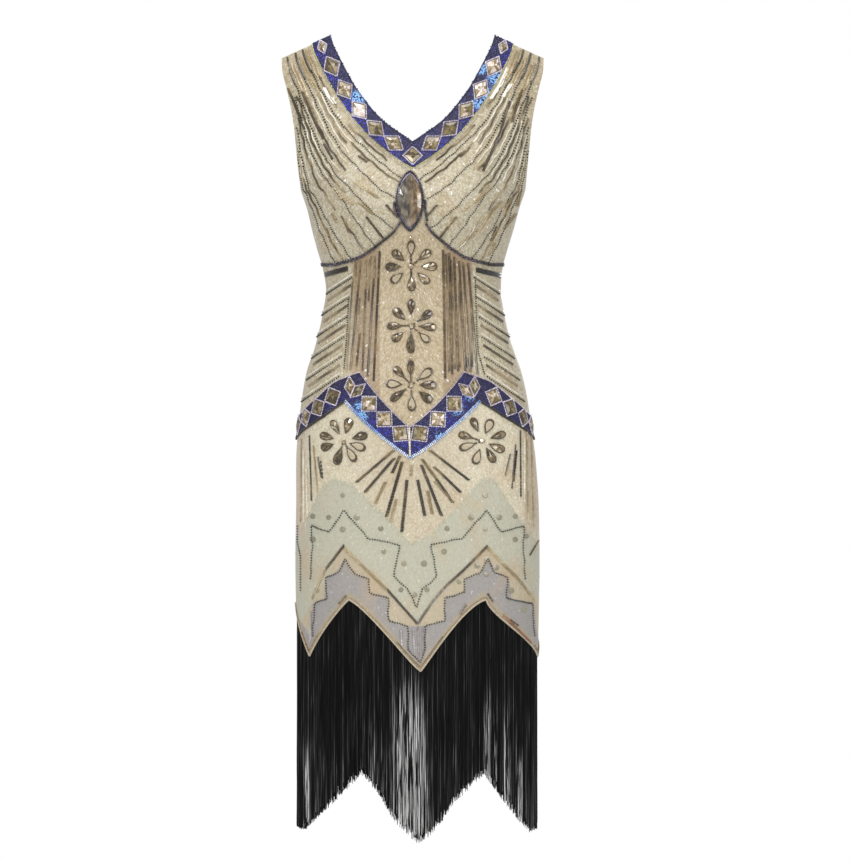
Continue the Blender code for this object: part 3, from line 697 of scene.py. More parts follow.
def steppedLine(number):
    left, right = bothHalves(number, stairHalf(number))
    return np.concatenate([left, [steps["tips"][number]], right])


def steppedEdge(number):
    # the same line as a border between two fields, which never turns back
    half = stairHalf(number)
    half[:, 0] = np.maximum.accumulate(half[:, 0]) + 0.2 * np.arange(len(half))
    left, right = bothHalves(number, np.concatenate([half[1:], [(135, half[-2, 1])]]))
    return [*left, *right]


# the coloured fields of the front skirt, from line to line downwards
skirtFields = {
    "waistSides": "#cbc3ad", "stripes": "#b09a80", "midriff": "#cbbca1", "hips": "#dad2bc",
    "rayBeige": "#cec3ac", "green": "#bab9a7", "pinkish": "#bbaf97", "lavender": "#9b9796",
    "nearHem": "#a89d88", "sideStrips": ("#d0c3b4", "#bfb19c"),
    "hipLine": ((290, 440), (306, 432), (341, 405), (348, 402), (365, 421), (385, 440), (410.5, 459),
                (434.5, 441), (459, 417), (474, 401.6), (503, 415), (532, 432), (540, 436)),
    "greenLine": ((290, 545), (308, 516), (320, 489), (332, 478), (351, 483), (391, 521), (411, 543),
                  (432, 533), (469, 492), (482, 478), (494, 478), (517, 515), (540, 545)),
    "brownLine": ((290, 640), (308.6, 609), (344, 546), (416.6, 622), (487, 544.6), (537, 604), (542, 610)),
}


def bodiceGround(finish):
    # paler towards the shoulders
    height = finish.split(finish.uv("plan"))[1]
    return finish.mix(finish.step(height, 0.02, 0.16), paint("#bfb49b"), paint("#cdc6b2"))


def skirtGround(finish):
    across, down = framed(finish)
    panel = finish.times(finish.step(across, 379, 381), finish.step(across, 444.5, 442.5))
    stripes = finish.times(finish.step(across, 350, 356), finish.step(across, 474, 470))
    colour = finish.mix(stripes, paint(skirtFields["waistSides"]), paint(skirtFields["stripes"]))
    colour = finish.mix(panel, colour, paint(skirtFields["midriff"]))
    ray = finish.times(finish.step(across, 335, 385), finish.step(across, 490, 440))
    hips = finish.mix(ray, paint(skirtFields["hips"]), paint(skirtFields["rayBeige"]))
    colour = finish.mix(zone(finish, across, down, skirtFields["hipLine"]), colour, hips)
    for line, field, soft in (("greenLine", "green", 3.0), ("brownLine", "pinkish", 1.2),
                              ("steps", "lavender", 1.2)):
        edge = steppedEdge(1) if line == "steps" else skirtFields[line]
        colour = finish.mix(zone(finish, across, down, edge, soft), colour, paint(skirtFields[field]))
    rise = finish.rise()
    colour = finish.mix(finish.step(rise, 0.015, 0.006), colour, paint(skirtFields["nearHem"]))
    side = finish.math("MAXIMUM", finish.step(across, 308, 305), finish.step(across, 523, 526))
    low = finish.times(finish.step(down, 425, 432), finish.step(down, 545, 520))
    strips = finish.mix(finish.step(across, 412, 413), *(paint(code) for code in skirtFields["sideStrips"]))
    return finish.mix(finish.times(side, low, 0.8), colour, strips)


def plainSkirt(finish):
    across, down = framed(finish)
    return finish.math("MAXIMUM", zone(finish, across, down, skirtFields["greenLine"], 8.0),
                       finish.times(zone(finish, across, down, skirtFields["hipLine"], 8.0), 0.6))


def plainBack(finish):
    return finish.step(finish.rise(), 0.2, 0.15)


def backGround(finish):
    rise = finish.rise()
    colour = finish.mix(finish.step(rise, 0.15, 0.19), paint(skirtFields["green"]), paint("#d2cab2"))
    colour = finish.mix(finish.step(rise, 0.083, 0.086), paint(skirtFields["pinkish"]), colour)
    return finish.mix(finish.step(rise, 0.046, 0.05), paint(skirtFields["lavender"]), colour)


def glassBeads(name, darkest, middleTone, lightest, rough=0.22, stretches=0.0):
    # beads shaded one by one, and in stretches where the shade drifts along a line
    finish = Finish(name, Roughness=rough, Specular_IOR_Level=0.7, Coat_Weight=0.5, Coat_Roughness=0.1)
    shade = finish.attribute("shade")
    spot = finish.spot()
    drift = finish.noise(spot, 21.0, 1.5)
    value = finish.math("ADD", finish.times(shade, 1 - stretches),
                        finish.times(finish.step(drift, 0.38, 0.62), stretches))
    finish.colour(finish.ramp(value, ((0.0, darkest), (0.55, middleTone), (1.0, lightest))))
    grain = finish.noise(spot, 2600.0)
    finish.bump(grain, 0.15, 0.0002)
    return finish.material


# frame x, y and reach of the paler sequins: painted highlights, sky-blue where the bands catch the light
glints = ((482, 70, 8), (496, 78, 13), (488, 96, 11), (478, 104, 8), (359, 98, 11), (363, 415, 8),
          (359, 406, 7), (457, 409, 9), (390, 447, 6), (440, 437, 7), (470, 397, 7))


def sequinFinish(name, tones):
    finish = Finish(name, Roughness=0.33, Metallic=0.3, Specular_IOR_Level=0.55, Coat_Weight=0.3,
                    Coat_Roughness=0.15)
    shade, place = finish.attribute("shade"), finish.spot()
    spot = finish.split(place)
    tone = finish.ramp(shade, tuple(zip((0.0, 0.3, 0.62, 0.86, 1.0), tones)))
    # sequins near these spots on the front are painted sky-blue, a painted highlight
    paintedHighlight = 0.0
    for x, y, reach in glints:
        aside = finish.math("SUBTRACT", spot[0], (x - middleX) * pixel * mm)
        height = finish.math("ADD", spot[2], (y - topY) * pixel * mm)
        away = finish.math("SQRT", finish.math("ADD", finish.math("POWER", aside, 2.0),
                                               finish.math("POWER", height, 2.0)))
        near = finish.step(away, reach * pixel * mm, reach * 0.3 * pixel * mm)
        paintedHighlight = finish.math("MAXIMUM", paintedHighlight, near)
    front = finish.step(spot[1], -0.01, -0.03)
    share = finish.times(paintedHighlight, front, finish.step(shade, -0.5, 0.15))
    tone = finish.mix(share, tone, paint("#84b8f2"))
    # patches of darker sequins, and darker arms at the hips
    patch = finish.step(finish.noise(place, 34.0, 1.0), 0.46, 0.62)
    arms = finish.times(finish.step(finish.math("ABSOLUTE", spot[0]), 0.066, 0.084),
                        finish.step(spot[2], -0.38, -0.42))
    darker = finish.math("MINIMUM", finish.math("ADD", finish.times(patch, 0.55),
                                                finish.times(arms, 0.65)), 0.85)
    darker = finish.times(darker, finish.rest(share))
    finish.colour(finish.mix(darker, tone, paint("#1a1230")))
    return finish.material


def stoneFinish(name, stops, rough=0.12, metallic=0.25, coat=1.0):
    # cut glass over foil: each facet has its own random shade, and the palest facets of a ramp are painted
    # sparkle, a painted highlight; a grain runs inside
    finish = Finish(name, Roughness=rough, Metallic=metallic, Specular_IOR_Level=0.8, Coat_Weight=coat,
                    Coat_Roughness=0.04)
    facet = finish.attribute("facet")
    spot = finish.spot()
    inside = finish.noise(spot, 260.0, 2.0)
    value = finish.math("ADD", finish.times(facet, 0.8), finish.times(inside, 0.24))
    finish.colour(finish.ramp(value, stops))
    return finish.material


smoky = stoneFinish("smokyStone", (
    (0.0, "#1c150b"), (0.3, "#4a3a22"), (0.55, "#75623f"), (0.75, "#a99570"), (0.9, "#e6dcc6"),
    (1.0, "#ffffff")))
lozengeGlass = stoneFinish("lozengeGlass", (
    (0.0, "#17130b"), (0.25, "#3a2f1a"), (0.5, "#6e5f35"), (0.68, "#9c8a62"), (0.82, "#d8c4bc"),
    (1.0, "#ffffff")), 0.25, 0.1, 0.35)
hollowGlass = stoneFinish("hollowGlass", (
    (0.0, "#8a7a5c"), (0.5, "#a99a7c"), (1.0, "#cdc0a4")), 0.5, 0.0, 0.1)
darkSetting = stoneFinish("darkSetting", (
    (0.0, "#1d1712"), (0.5, "#4b3d2c"), (1.0, "#8c7b62")), 0.3, 0.1, 0.4)
oliveSetting = stoneFinish("oliveSetting", (
    (0.0, "#2c2110"), (0.5, "#4a3a1e"), (1.0, "#7a6640")), 0.35, 0.1, 0.4)
darkSeed = glassBeads("darkSeedBead", "#0c0f0b", "#1d221a", "#3a3f2f")
brownBugle = glassBeads("brownBugle", "#2e2412", "#60492b", "#96794f", 0.35, 0.7)
tanBugle = glassBeads("tanBugle", "#8a7750", "#ad9870", "#cbba95", 0.4, 0.5)
oliveBugle = glassBeads("oliveBugle", "#3a3120", "#6d5e41", "#ab9a7a", 0.35, 0.75)
paleBugle = glassBeads("paleBugle", "#c9c0a8", "#ded7c3", "#f5f0e4", 0.35, 0.4)
# white bugles for the painted highlight bars beside the neck band
glintBugle = glassBeads("glintBugle", "#efe9dc", "#faf7ef", "#ffffff", 0.3, 0.3)
mauveBugle = glassBeads("mauveBugle", "#77706f", "#a39c9d", "#c9c2c6", 0.35, 0.5)
rustBugle = glassBeads("rustBugle", "#57321b", "#8a5b3a", "#b08862", 0.4, 0.6)
paleBead = glassBeads("paleBead", "#b7a888", "#d8cbb0", "#f6efdf", 0.3, 0.3)
limeBead = glassBeads("limeBead", "#a9a869", "#cdcb88", "#eeeac2", 0.3, 0.4)
plumBead = glassBeads("plumBead", "#110d12", "#241b26", "#6f6478", 0.18, 0.35)
inkBead = glassBeads("inkBead", "#0b0d22", "#1b1e45", "#3a4d94", 0.18, 0.4)
lilacBead = glassBeads("lilacBead", "#a79bb0", "#cfc4d4", "#f5f0f6", 0.25, 0.3)
blackBugle = glassBeads("blackBugle", "#0b0906", "#1a150e", "#3a3022", 0.3, 0.4)
# pale sky-blue beads: a painted highlight on the hip band's lower edge
skyGlintBead = glassBeads("skyGlintBead", "#4a5fb4", "#8fb4ea", "#f0f6ff", 0.2, 0.6)
rayBugle = glassBeads("rayBugle", "#1f180b", "#40341d", "#8a764e", 0.35, 0.7)
stripeBugle = glassBeads("stripeBugle", "#2c2313", "#53442d", "#8a7552", 0.4, 0.6)
softBugle = glassBeads("softBugle", "#85744f", "#a3906b", "#c4b493", 0.45, 0.6)
# dark beads turned lilac in stretches: painted highlights on the jewel's inner bead ring
lilacGlintBead = glassBeads("lilacGlintBead", "#17121d", "#453b55", "#cfc6dc", 0.2, 0.8)
hemBead = glassBeads("hemBead", "#3b2c1a", "#5e482c", "#96754c", 0.3, 0.4)
blueSequin = sequinFinish("blueSequin", ("#141138", "#1a1860", "#22248e", "#2b31ac", "#352f92"))
inkSequin = sequinFinish("inkSequin", ("#0b0a1c", "#100f30", "#171648", "#1f2066", "#2a2560"))
print("scene: finishes ready")


cloth = {
    "finer": 4, "outer": -0.25, "inner": -1.4, "halfColumns": 12, "skirtRows": 24, "empireSeam": 0.3,
    "frontHem": table("column angle", ((0, -90), (4, -62), (8, -32.3), (12, 1.0), (16, 32.3), (22, 84),
                                       (24, 90))),
    "leftHem": table("column angle", ((0, 90), (7, 147.7), (12, 180))),
    "rightHem": table("column angle", ((0, 180), (5, 212.3), (8, 242), (12, 270))),
}


def upperGrid(toEmpire):
    # the (angle, drop) rows of one upper half, from the neck outwards
    rows = np.linspace(0, len(upperRows["inner"]) - 1, (len(upperRows["inner"]) - 1) * cloth["finer"] + 1)
    share = np.linspace(0, 1, cloth["halfColumns"] * cloth["finer"] + 1)
    vDrop, last, underarm = 141, 232, 203
    angles, drops = [], []
    for row in rows:
        inner, outer = upperRow(row, "inner"), upperRow(row, "outer")
        start = angleOf(neckAside(inner), inner) if inner < vDrop else 0
        end = angleOf(armholeAside(outer), outer) if outer < underarm else 90
        angle = start + (end - start) * share
        drop = inner + (outer - inner) * share
        if row < 1:
            aside = halfWidth(drop) * np.sin(np.radians(angle)) ** (2 / form["squareness"])
            drop = drop * row + shoulderDrop(aside) * (1 - row)
        if toEmpire and inner > vDrop:
            straight = last + (upperRows["outer"][-1] - last) * share
            drop = drop + ((inner - vDrop) / (last - vDrop)) ** 2 * (empireAt(angle) - straight)
        angles.append(angle)
        drops.append(drop)
    return np.array(angles), np.array(drops)


def skirtGrid(topAngle, topDrop, hemAngle):
    even = np.linspace(0, 1, cloth["skirtRows"] * cloth["finer"] + 1)[:, None]
    share = even * (0.72 + 0.28 * even)
    return topAngle + (hemAngle - topAngle) * share, topDrop + (hemDrop(hemAngle) - topDrop) * share


def makePanel(name, node, angle, drop, material, facing, hand=0):
    item = gridWall(name, angle, drop, cloth["inner"], cloth["outer"], material, facing, hand)
    angle, drop = np.tile(angle.ravel(), 2), np.tile(drop.ravel(), 2)
    rise = np.stack([angle / 360, (hemDrop(angle) - drop) * mm], -1)
    storePlan(item.data, "hem", rise)
    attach(item, "dress")
    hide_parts(node)
    # the width of the cut runs level round the panel, because rows near the hem zigzag and are longer
    return item


def makeCloth():
    bodiceNet = beadedNet("bodiceNet", bodiceGround, "#bfa57c", 1.0)
    skirtNet = beadedNet("skirtNet", skirtGround, "#c2a581", 2.0, plainSkirt)
    backNet = beadedNet("backNet", backGround, "#c0a883", 3.0, plainBack)
    angle, drop = upperGrid(True)
    drop[-1] -= cloth["empireSeam"]
    makePanel("bodiceLeft", "bodice_left", angle, drop, bodiceNet, -1, 1)
    makePanel("bodiceRight", "bodice_right", -angle[:, ::-1], drop[:, ::-1], bodiceNet, -1, -1)
    columns = np.linspace(0, 24, 24 * cloth["finer"] + 1)
    topAngle = 90 * (columns / 12 - 1)
    hemAngle = np.interp(columns, cloth["frontHem"]["column"], cloth["frontHem"]["angle"])
    angle, drop = skirtGrid(topAngle, empireAt(np.abs(topAngle)) + cloth["empireSeam"], hemAngle)
    makePanel("frontSkirt", "front_skirt", angle, drop, skirtNet, -1)
    for name, node, hand, hem in (("backLeft", "back_left", 1, "leftHem"),
                                  ("backRight", "back_right", -1, "rightHem")):
        angle, drop = upperGrid(False)
        angle, drop = (180 - hand * angle)[:, ::-hand], drop[:, ::-hand]
        columns = np.linspace(0, 12, 12 * cloth["finer"] + 1)
        low = skirtGrid(angle[-1], drop[-1], np.interp(columns, cloth[hem]["column"], cloth[hem]["angle"]))
        angle, drop = np.concatenate([angle, low[0][1:]]), np.concatenate([drop, low[1][1:]])
        makePanel(name, node, angle, drop, backNet, 1, hand)


makeCloth()
print("scene: cloth panels")


class Stones:
    # faceted stones gathered into one mesh, each placed by its own function of local millimetres
    def __init__(self):
        self.verts, self.faces, self.shades = [], [], []

    def add(self, outline, levels, place, shade, spread=0.45):
        outline = np.asarray(outline, float)
        count, first = len(outline), len(self.verts)
        for scale, lift in levels:
            angle, drop = place(outline[:, 0] * scale, outline[:, 1] * scale)
            self.verts.extend(onCloth(angle, drop, np.full(count, lift)))
        angle, drop = place(np.zeros(1), np.zeros(1))
        self.verts.extend(onCloth(angle, drop, [levels[-1][1] + 0.25]))
        tip = len(self.verts) - 1
        self.faces.append([first + k for k in range(count)][::-1])
        self.shades.append(shade)
        for ring in range(len(levels) - 1):
            low, high = first + ring * count, first + (ring + 1) * count
            for k in range(count):
                self.faces.append([low + k, low + (k + 1) % count, high + (k + 1) % count, high + k])
                self.shades.append(shade + spread * (rng.random() - 0.5))
        for k in range(count):
            self.faces.append([high + k, high + (k + 1) % count, tip])
            self.shades.append(shade + spread * (rng.random() - 0.5))

    def build(self, name, material, nodes=(), slot="smoky_stones"):
        item = storeMesh(name, self.verts, self.faces, material, smoothly=False,
                         faceShades=np.clip(self.shades, 0, 1))
        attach(item, "dress")
        if nodes:
            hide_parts(*nodes)
        return item


def ring(count, radius):
    # a round outline, counted so that faces point away from the cloth
    at = 2 * pi * np.arange(count) / count
    return radius * np.stack([np.sin(at), np.cos(at)], 1)


def atFrame(x, y):
    # a placing function round a spot given in frame pixels
    def place(p, q):
        drop = (y - topY) * pixel + q
        return angleOf((x - middleX) * pixel + p - middle(drop), drop), drop
    return place


seed = {"spacing": 3.5, "radius": 1.3, "lift": 0.6}
bugle = {"spacing": 4.0, "radius": 1.15, "length": 3.8, "round": False, "lift": 0.5}


def bugleOf(radius):
    return {**bugle, "radius": radius}


def layRows(lines, rows, lift, down=False):
    # each line laid once for every row, a few pixels aside or further down
    return [layLine(np.array(line) + ((0, row) if down else (row, 0)), lift) for line in lines
            for row in rows]


flower = {
    "petals": 8, "width": 13.5, "stem": 0.4, "points": 12, "taper": 1.2, "rise": 2.2, "low": 0.9,
    "reach": {"waist": 35.0, "hip": 34.0},
    # node, frame x and y, turn of the first petal, and the petals left hollow
    "spots": (("flower_waist_1", 411, 267, 0, (0, 5)), ("flower_waist_2", 411.5, 326, 0, (3,)),
              ("flower_waist_3", 411.5, 385, 0, (1, 4, 6)), ("flower_hip_left", 482, 441, 20, (0, 4, 5)),
              ("flower_hip_right", 344, 441, 18, (2, 3))),
    "lean": (0, 8, 2, -4, 0, 6, 0, -2),
}


def petalOutline(start, end, turn, width):
    at = 2 * pi * np.arange(flower["points"]) / flower["points"]
    along = start + (end - start) * (1 - np.cos(at)) / 2
    side = width / 2 * np.sin(at) * np.sin(at / 2) ** flower["taper"] * 1.15
    return np.stack([along * sin(turn) + side * cos(turn), -along * cos(turn) + side * sin(turn)], 1)


def makeFlowers():
    for node, x, y, first, hollow in flower["spots"]:
        stones, rims, pales, stems = Stones(), Stones(), Stones(), []
        reach = flower["reach"]["waist" if "waist" in node else "hip"]
        for petal in range(flower["petals"]):
            turn = radians(first + 45 * petal + flower["lean"][petal] + rng.uniform(-3, 3))
            start = reach * rng.uniform(0.24, 0.4)
            outline = petalOutline(start, reach * rng.uniform(0.9, 1.0), turn,
                                   flower["width"] * rng.uniform(0.85, 1.05))
            middleLine = np.array([[0.1 * reach * sin(turn), -0.1 * reach * cos(turn)],
                                   [start * 1.05 * sin(turn), -start * 1.05 * cos(turn)]])
            if rng.random() < flower["stem"]:
                stems.append(layLine(middleLine / pixel + (x, y), 0.5))
            centre = outline.mean(0)
            outline = outline - centre
            spot = atFrame(x + centre[0] / pixel, y + centre[1] / pixel)
            low = flower["low"]
            shade = rng.choice([0.15, 0.25, 0.32, 0.4, 0.62])
            if petal in hollow:
                pales.add(outline, ((0.72, low + 0.5), (0.72, low + 1.05), (0.5, low + 1.15)), spot, 0.6,
                          0.3)
            else:
                stones.add(outline, ((0.84, low + 0.4), (0.84, low + 1.0), (0.42, low + flower["rise"])),
                           spot, shade, 0.75)
            rims.add(outline, ((1.04, low), (1.04, low + 0.7), (0.9, low + 0.95), (0.8, low + 0.6)), spot,
                     0.4, 0.3)
        place = atFrame(x, y)
        stones.add(ring(8, 3.4), ((1, 0.9), (1, 1.5), (0.6, 2.4)), place, 0.75)
        name = "".join(part.capitalize() if k else part for k, part in enumerate(node.split("_")))
        stones.build(name, smoky, (node,))
        rims.build(name + "Setting", oliveSetting)
        pales.build(name + "Pale", hollowGlass)
        layBeads(name + "Stems", stems, stripeBugle, bugleOf(1.2))


makeFlowers()

smallStones = {
    # frame x, y, radius and shade
    "waist": ((411, 239, 2.6, 0.8), (411, 246, 2.6, 0.5), (411, 287.5, 2.4, 0.95), (411, 294, 2.4, 0.9),
              (411, 301, 2.6, 0.4), (411, 350, 5.2, 0.25), (411, 358, 2.2, 0.9), (411, 407, 3.4, 0.5)),
    # dots of both sides by frame pixels out from the middle and down, and the ones of one side only
    "dots": ((71, 495), (57, 517), (85, 517), (101, 516), (33, 528), (71, 529), (101, 539), (30, 551),
             (10, 563), (13, 589), (97, 590)),
    "sideDots": ((73, 559), (63, 565), (82, 567), (72, 574), (45, 581), (110, 609), (1, 594), (112, 536)),
    "middle": 414, "dotRadius": 4.1,
}


def makeSmallStones():
    stones = Stones()
    for x, y, radius, shade in smallStones["waist"]:
        stones.add(ring(8, radius), ((1, 0.0), (1, 0.9), (0.55, 2.0)), atFrame(x, y), shade)
    stones.build("waistStones", smoky)
    dots = Stones()
    dotSpots = [(side * out, y) for out, y in smallStones["dots"] for side in (-1, 1)]
    for out, y in dotSpots + list(smallStones["sideDots"]):
        x = smallStones["middle"] + out
        radius = smallStones["dotRadius"] * rng.uniform(0.8, 1.05)
        dots.add(ring(10, radius), ((1, -0.1), (1, 0.2), (0.6, 0.4), (0.2, 0.45)), atFrame(x, y),
                 rng.uniform(0.15, 0.5), 0.2)
    dots.build("skirtSequinDots", stoneFinish("dotSequin", (
        (0.0, "#6d6853"), (0.3, "#88826c"), (0.6, "#a0997f"), (1.0, "#bcb59c")), 0.6))


makeSmallStones()

jewel = {
    "aside": -4.6, "drop": 219, "halfWidth": 18.2, "halfHeight": 39.5, "points": 30, "pinch": 0.1,
    "point": 1.38,
    "frameRings": ((1.0, 0.9), (1.0, 1.6), (0.96, 2.6), (0.9, 2.7), (0.86, 2.0), (0.86, 1.0)),
    "stoneRings": ((0.85, 1.0), (0.85, 2.2), (0.55, 4.4), (0.25, 5.0)),
    "beadRows": ((0.99, 2.4, 1.5), (0.88, 2.8, 0.9)),
    # beads that hold the frame at its sides, by frame pixels
    "knots": (((394.4, 204), (395, 211), (397.5, 217.5)), ((425.2, 202), (425.5, 212), (427, 221))),
}


def jewelLoop(points):
    turn = 2 * pi * np.arange(points) / points
    down = -np.cos(turn)
    pinch = 1 - jewel["pinch"] * np.maximum(0, down) ** 2
    across = np.sign(np.sin(turn)) * np.abs(np.sin(turn)) ** jewel["point"]
    return np.stack([jewel["halfWidth"] * across * pinch, jewel["halfHeight"] * down], 1)[::-1]


def makeJewel():
    place = atFrame(middleX + jewel["aside"] / pixel, topY + jewel["drop"] / pixel)
    outline = jewelLoop(jewel["points"])
    frameRing, stone = Stones(), Stones()
    frameRing.add(outline, jewel["frameRings"], place, 0.3, 0.2)
    frameRing.build("jewelFrame", stoneFinish("jewelBezel", (
        (0.0, "#0f0b13"), (0.4, "#1f172a"), (0.8, "#3a2f4c"), (1.0, "#776c94"))), ("jewel_frame",),
                    "dark_beads")
    stone.add(outline, jewel["stoneRings"], place, 0.4, 0.35)
    finish = Finish("jewelGlass", Roughness=0.1, Metallic=0.2, Specular_IOR_Level=0.9, Coat_Weight=1.0,
                    Coat_Roughness=0.03)
    spot = finish.spot()
    stretched = finish.add("ShaderNodeMapping", {"Vector": spot, "Scale": (230, 100, 95)}).outputs[0]
    streak = finish.noise(stretched, 1.0, 3.0)
    value = finish.math("ADD", streak, finish.times(finish.attribute("facet"), 0.35))
    left = finish.ramp(value, ((0.35, "#1d1a18"), (0.52, "#403a34"), (0.66, "#6a6152"), (0.8, "#93897a"),
                               (0.95, "#d9d4cc")))
    right = finish.ramp(value, ((0.35, "#2a2317"), (0.52, "#57472f"), (0.66, "#826b4b"), (0.8, "#a48b70"),
                                (0.95, "#e0c9a8")))
    aside = finish.split(spot)[0]
    finish.colour(finish.mix(finish.step(aside, -0.009, 0.0), left, right))
    stone.build("jewelStone", finish.material, ("jewel_stone",))
    for number, (scale, lift, radius) in enumerate(jewel["beadRows"]):
        loop = denser(np.concatenate([outline, outline[:1]]) * scale, 1.0)
        angle, drop = place(loop[:, 0], loop[:, 1])
        layBeads("jewelBeads%d" % number, [onCloth(angle, drop, lift)], lilacGlintBead if number else plumBead,
                 {"spacing": 2.1 * radius, "radius": radius})
    layBeads("jewelKnots", [layLine(knot, 1.2) for knot in jewel["knots"]], plumBead,
             {"spacing": 2.4, "radius": 1.9})


makeJewel()
print("scene: stones and flowers")


bust = {
    # shares of the way from the neck band to the armhole, read at these shares of a line's length
    "at": (0.0, 0.4, 0.7, 1.0),
    "dotted": ((0.34, 0.20, 0.115, 0.10), (0.56, 0.48, 0.35, 0.24), (0.83, 0.71, 0.56, 0.45),
               (0.92, 0.83, 0.68, 0.62), (0.96, 0.95, 0.89, 0.80), (0.99, 0.985, 0.965, 0.915)),
    "from": (0.13, 0.13, 0.13, 0.2, 0.34, 0.45), "fineFrom": 0.52,
    "seed": {"spacing": 3.9, "radius": 1.5}, "fineSeed": {"spacing": 3.0, "radius": 1.2},
    # between two dotted lines: the first one's number, the share of the way to the next, start and end
    "olive": ((-1, 0.55, 0.55, 0.85), (0, 0.5, 0.24, 0.56), (0, 0.24, 0.62, 0.98), (1, 0.5, 0.2, 0.62),
              (2, 0.5, 0.2, 0.7), (3, 0.5, 0.3, 0.75), (4, 0.5, 0.44, 0.99), (3, 0.4, 0.8, 0.98),
              (-1, 0.5, 0.2, 0.4)),
    "pale": tuple((k, share, 0.26 + 0.06 * max(0, k - 1), 0.6) for k in range(5) for share in (0.22, 0.78)),
    "tan": ((0, 0.36, 0.06, 0.24), (0, 0.66, 0.04, 0.2), (1, 0.36, 0.06, 0.22), (1, 0.66, 0.05, 0.2),
            (-1, 0.4, 0.03, 0.2), (-1, 0.7, 0.02, 0.2), (4, 0.4, 0.45, 0.6), (4, 0.6, 0.45, 0.6)),
    # bars by frame pixels on the wearer's right and left
    "darkRight": (((303, 94), (311, 114), (323, 138.6)), ((289, 90), (304, 128)),
                  ((325, 146), (332, 159)), ((360, 158), (366, 162.5)), ((387, 207), (396, 217)),
                  ((367.5, 219), (382, 237.5)), ((327, 230), (331, 241))),
    "darkLeft": (((509, 104), (502, 126), (494, 147), (483, 171)), ((521, 92), (512, 122)),
                 ((468, 150), (461, 157)), ((436, 207), (427, 217)), ((455, 219), (441, 237)),
                 ((496, 228), (491, 240))),
    "tanRight": (((356, 184), (366, 191), (377, 198)), ((342, 196), (352, 205)), ((360, 204), (372, 214)),
                 ((345, 222), (349, 232)), ((335, 190), (341, 199)), ((333, 215), (337, 222))),
    "tanLeft": (((475, 203), (489, 189)), ((480.5, 230), (491, 213), (501, 203)),
                ((503, 210), (512, 199)), ((504.5, 228), (515, 215)), ((517, 205), (520, 192)),
                ((464, 211), (470, 206)), ((448, 226), (452, 221)), ((470, 240), (478, 231)),
                ((490, 254), (494, 245))),
    # white bars beside the neck band, by frame pixels: a painted highlight where the pale edging catches the
    # light
    "glintBars": (((325.5, 90), (329, 97), (334.5, 104)), ((507, 70), (500.5, 85), (491.5, 99)),
              ((510, 86), (503, 97))),
    "start": 0.012, "brownUntil": 0.13, "wave": 0.75,
    "end": ((411.5, 168), (404, 178), (397, 190), (395, 205), (397.9, 219), (390, 234), (380, 244),
            (369, 252.5), (355, 259.4), (342, 263), (334, 264.5), (323, 264)),
    "mirror": 411.7, "points": 90,
}


def byLength(points):
    # reads a polyline by the share of its length
    points = np.asarray(points, float)
    along = lengthAlong(points)
    return lambda share: np.stack([np.interp(share * along[-1], along, points[:, k]) for k in (0, 1)], -1)


def wavy(points, reach, number):
    # a sewn line wanders a little to either side, in frame pixels
    along = lengthAlong(points)
    run = np.gradient(points, axis=0)
    run /= np.linalg.norm(run, axis=1)[:, None]
    aside = np.sin(along / 2.3 + number) * 0.45 + np.sin(along / 4.1 + 2.7 * number) * 0.55
    return points + np.stack([-run[:, 1], run[:, 0]], 1) * (aside * reach)[:, None]


def bustFrame(side):
    # frame pixels on one side of the bust, by the share out from the neck band and down the lines
    at = np.linspace(0, 1, 60)
    inner = byLength(toFrame(*neckStrip.place(side * neckStrip.total * (1 - at), np.full(60, 1.02))))
    underarm = np.linspace(29.25, 203, 40)
    seam = np.linspace(203, 300, 20)[1:]
    aside = np.concatenate([armholeAside(underarm), halfWidth(seam) * 0.985])
    drop = np.concatenate([underarm, seam])
    outer = byLength(np.stack([side * aside / pixel + middleX, drop / pixel + topY], 1))
    end = np.array(bust["end"], float)
    if side > 0:
        end[:, 0] = 2 * bust["mirror"] - end[:, 0]
    end = byLength(end)
    corner = [inner(0.0), outer(0.0), inner(1.0), outer(1.0)]

    def spot(share, t):
        s, t = share[:, None], t[:, None]
        edge = (1 - s) * inner(t[:, 0]) + s * outer(t[:, 0])
        topLine = (1 - s) * corner[0] + s * corner[1]
        ends = (1 - t) * topLine + t * end(share)
        corners = (1 - s) * ((1 - t) * corner[0] + t * corner[2]) + s * ((1 - t) * corner[1] + t * corner[3])
        return edge + ends - corners
    return spot


def bustShare(number, between, t):
    # number -1 is the neck band's edge
    rows = [(0, 0, 0, 0), *bust["dotted"], (1, 1, 1, 1)]
    first, second = np.array(rows[number + 1]), np.array(rows[min(number + 2, 7)])
    shares = first + (second - first) * between
    return smooth({"t": np.array(bust["at"]), "s": shares}, "t", "s")(t)


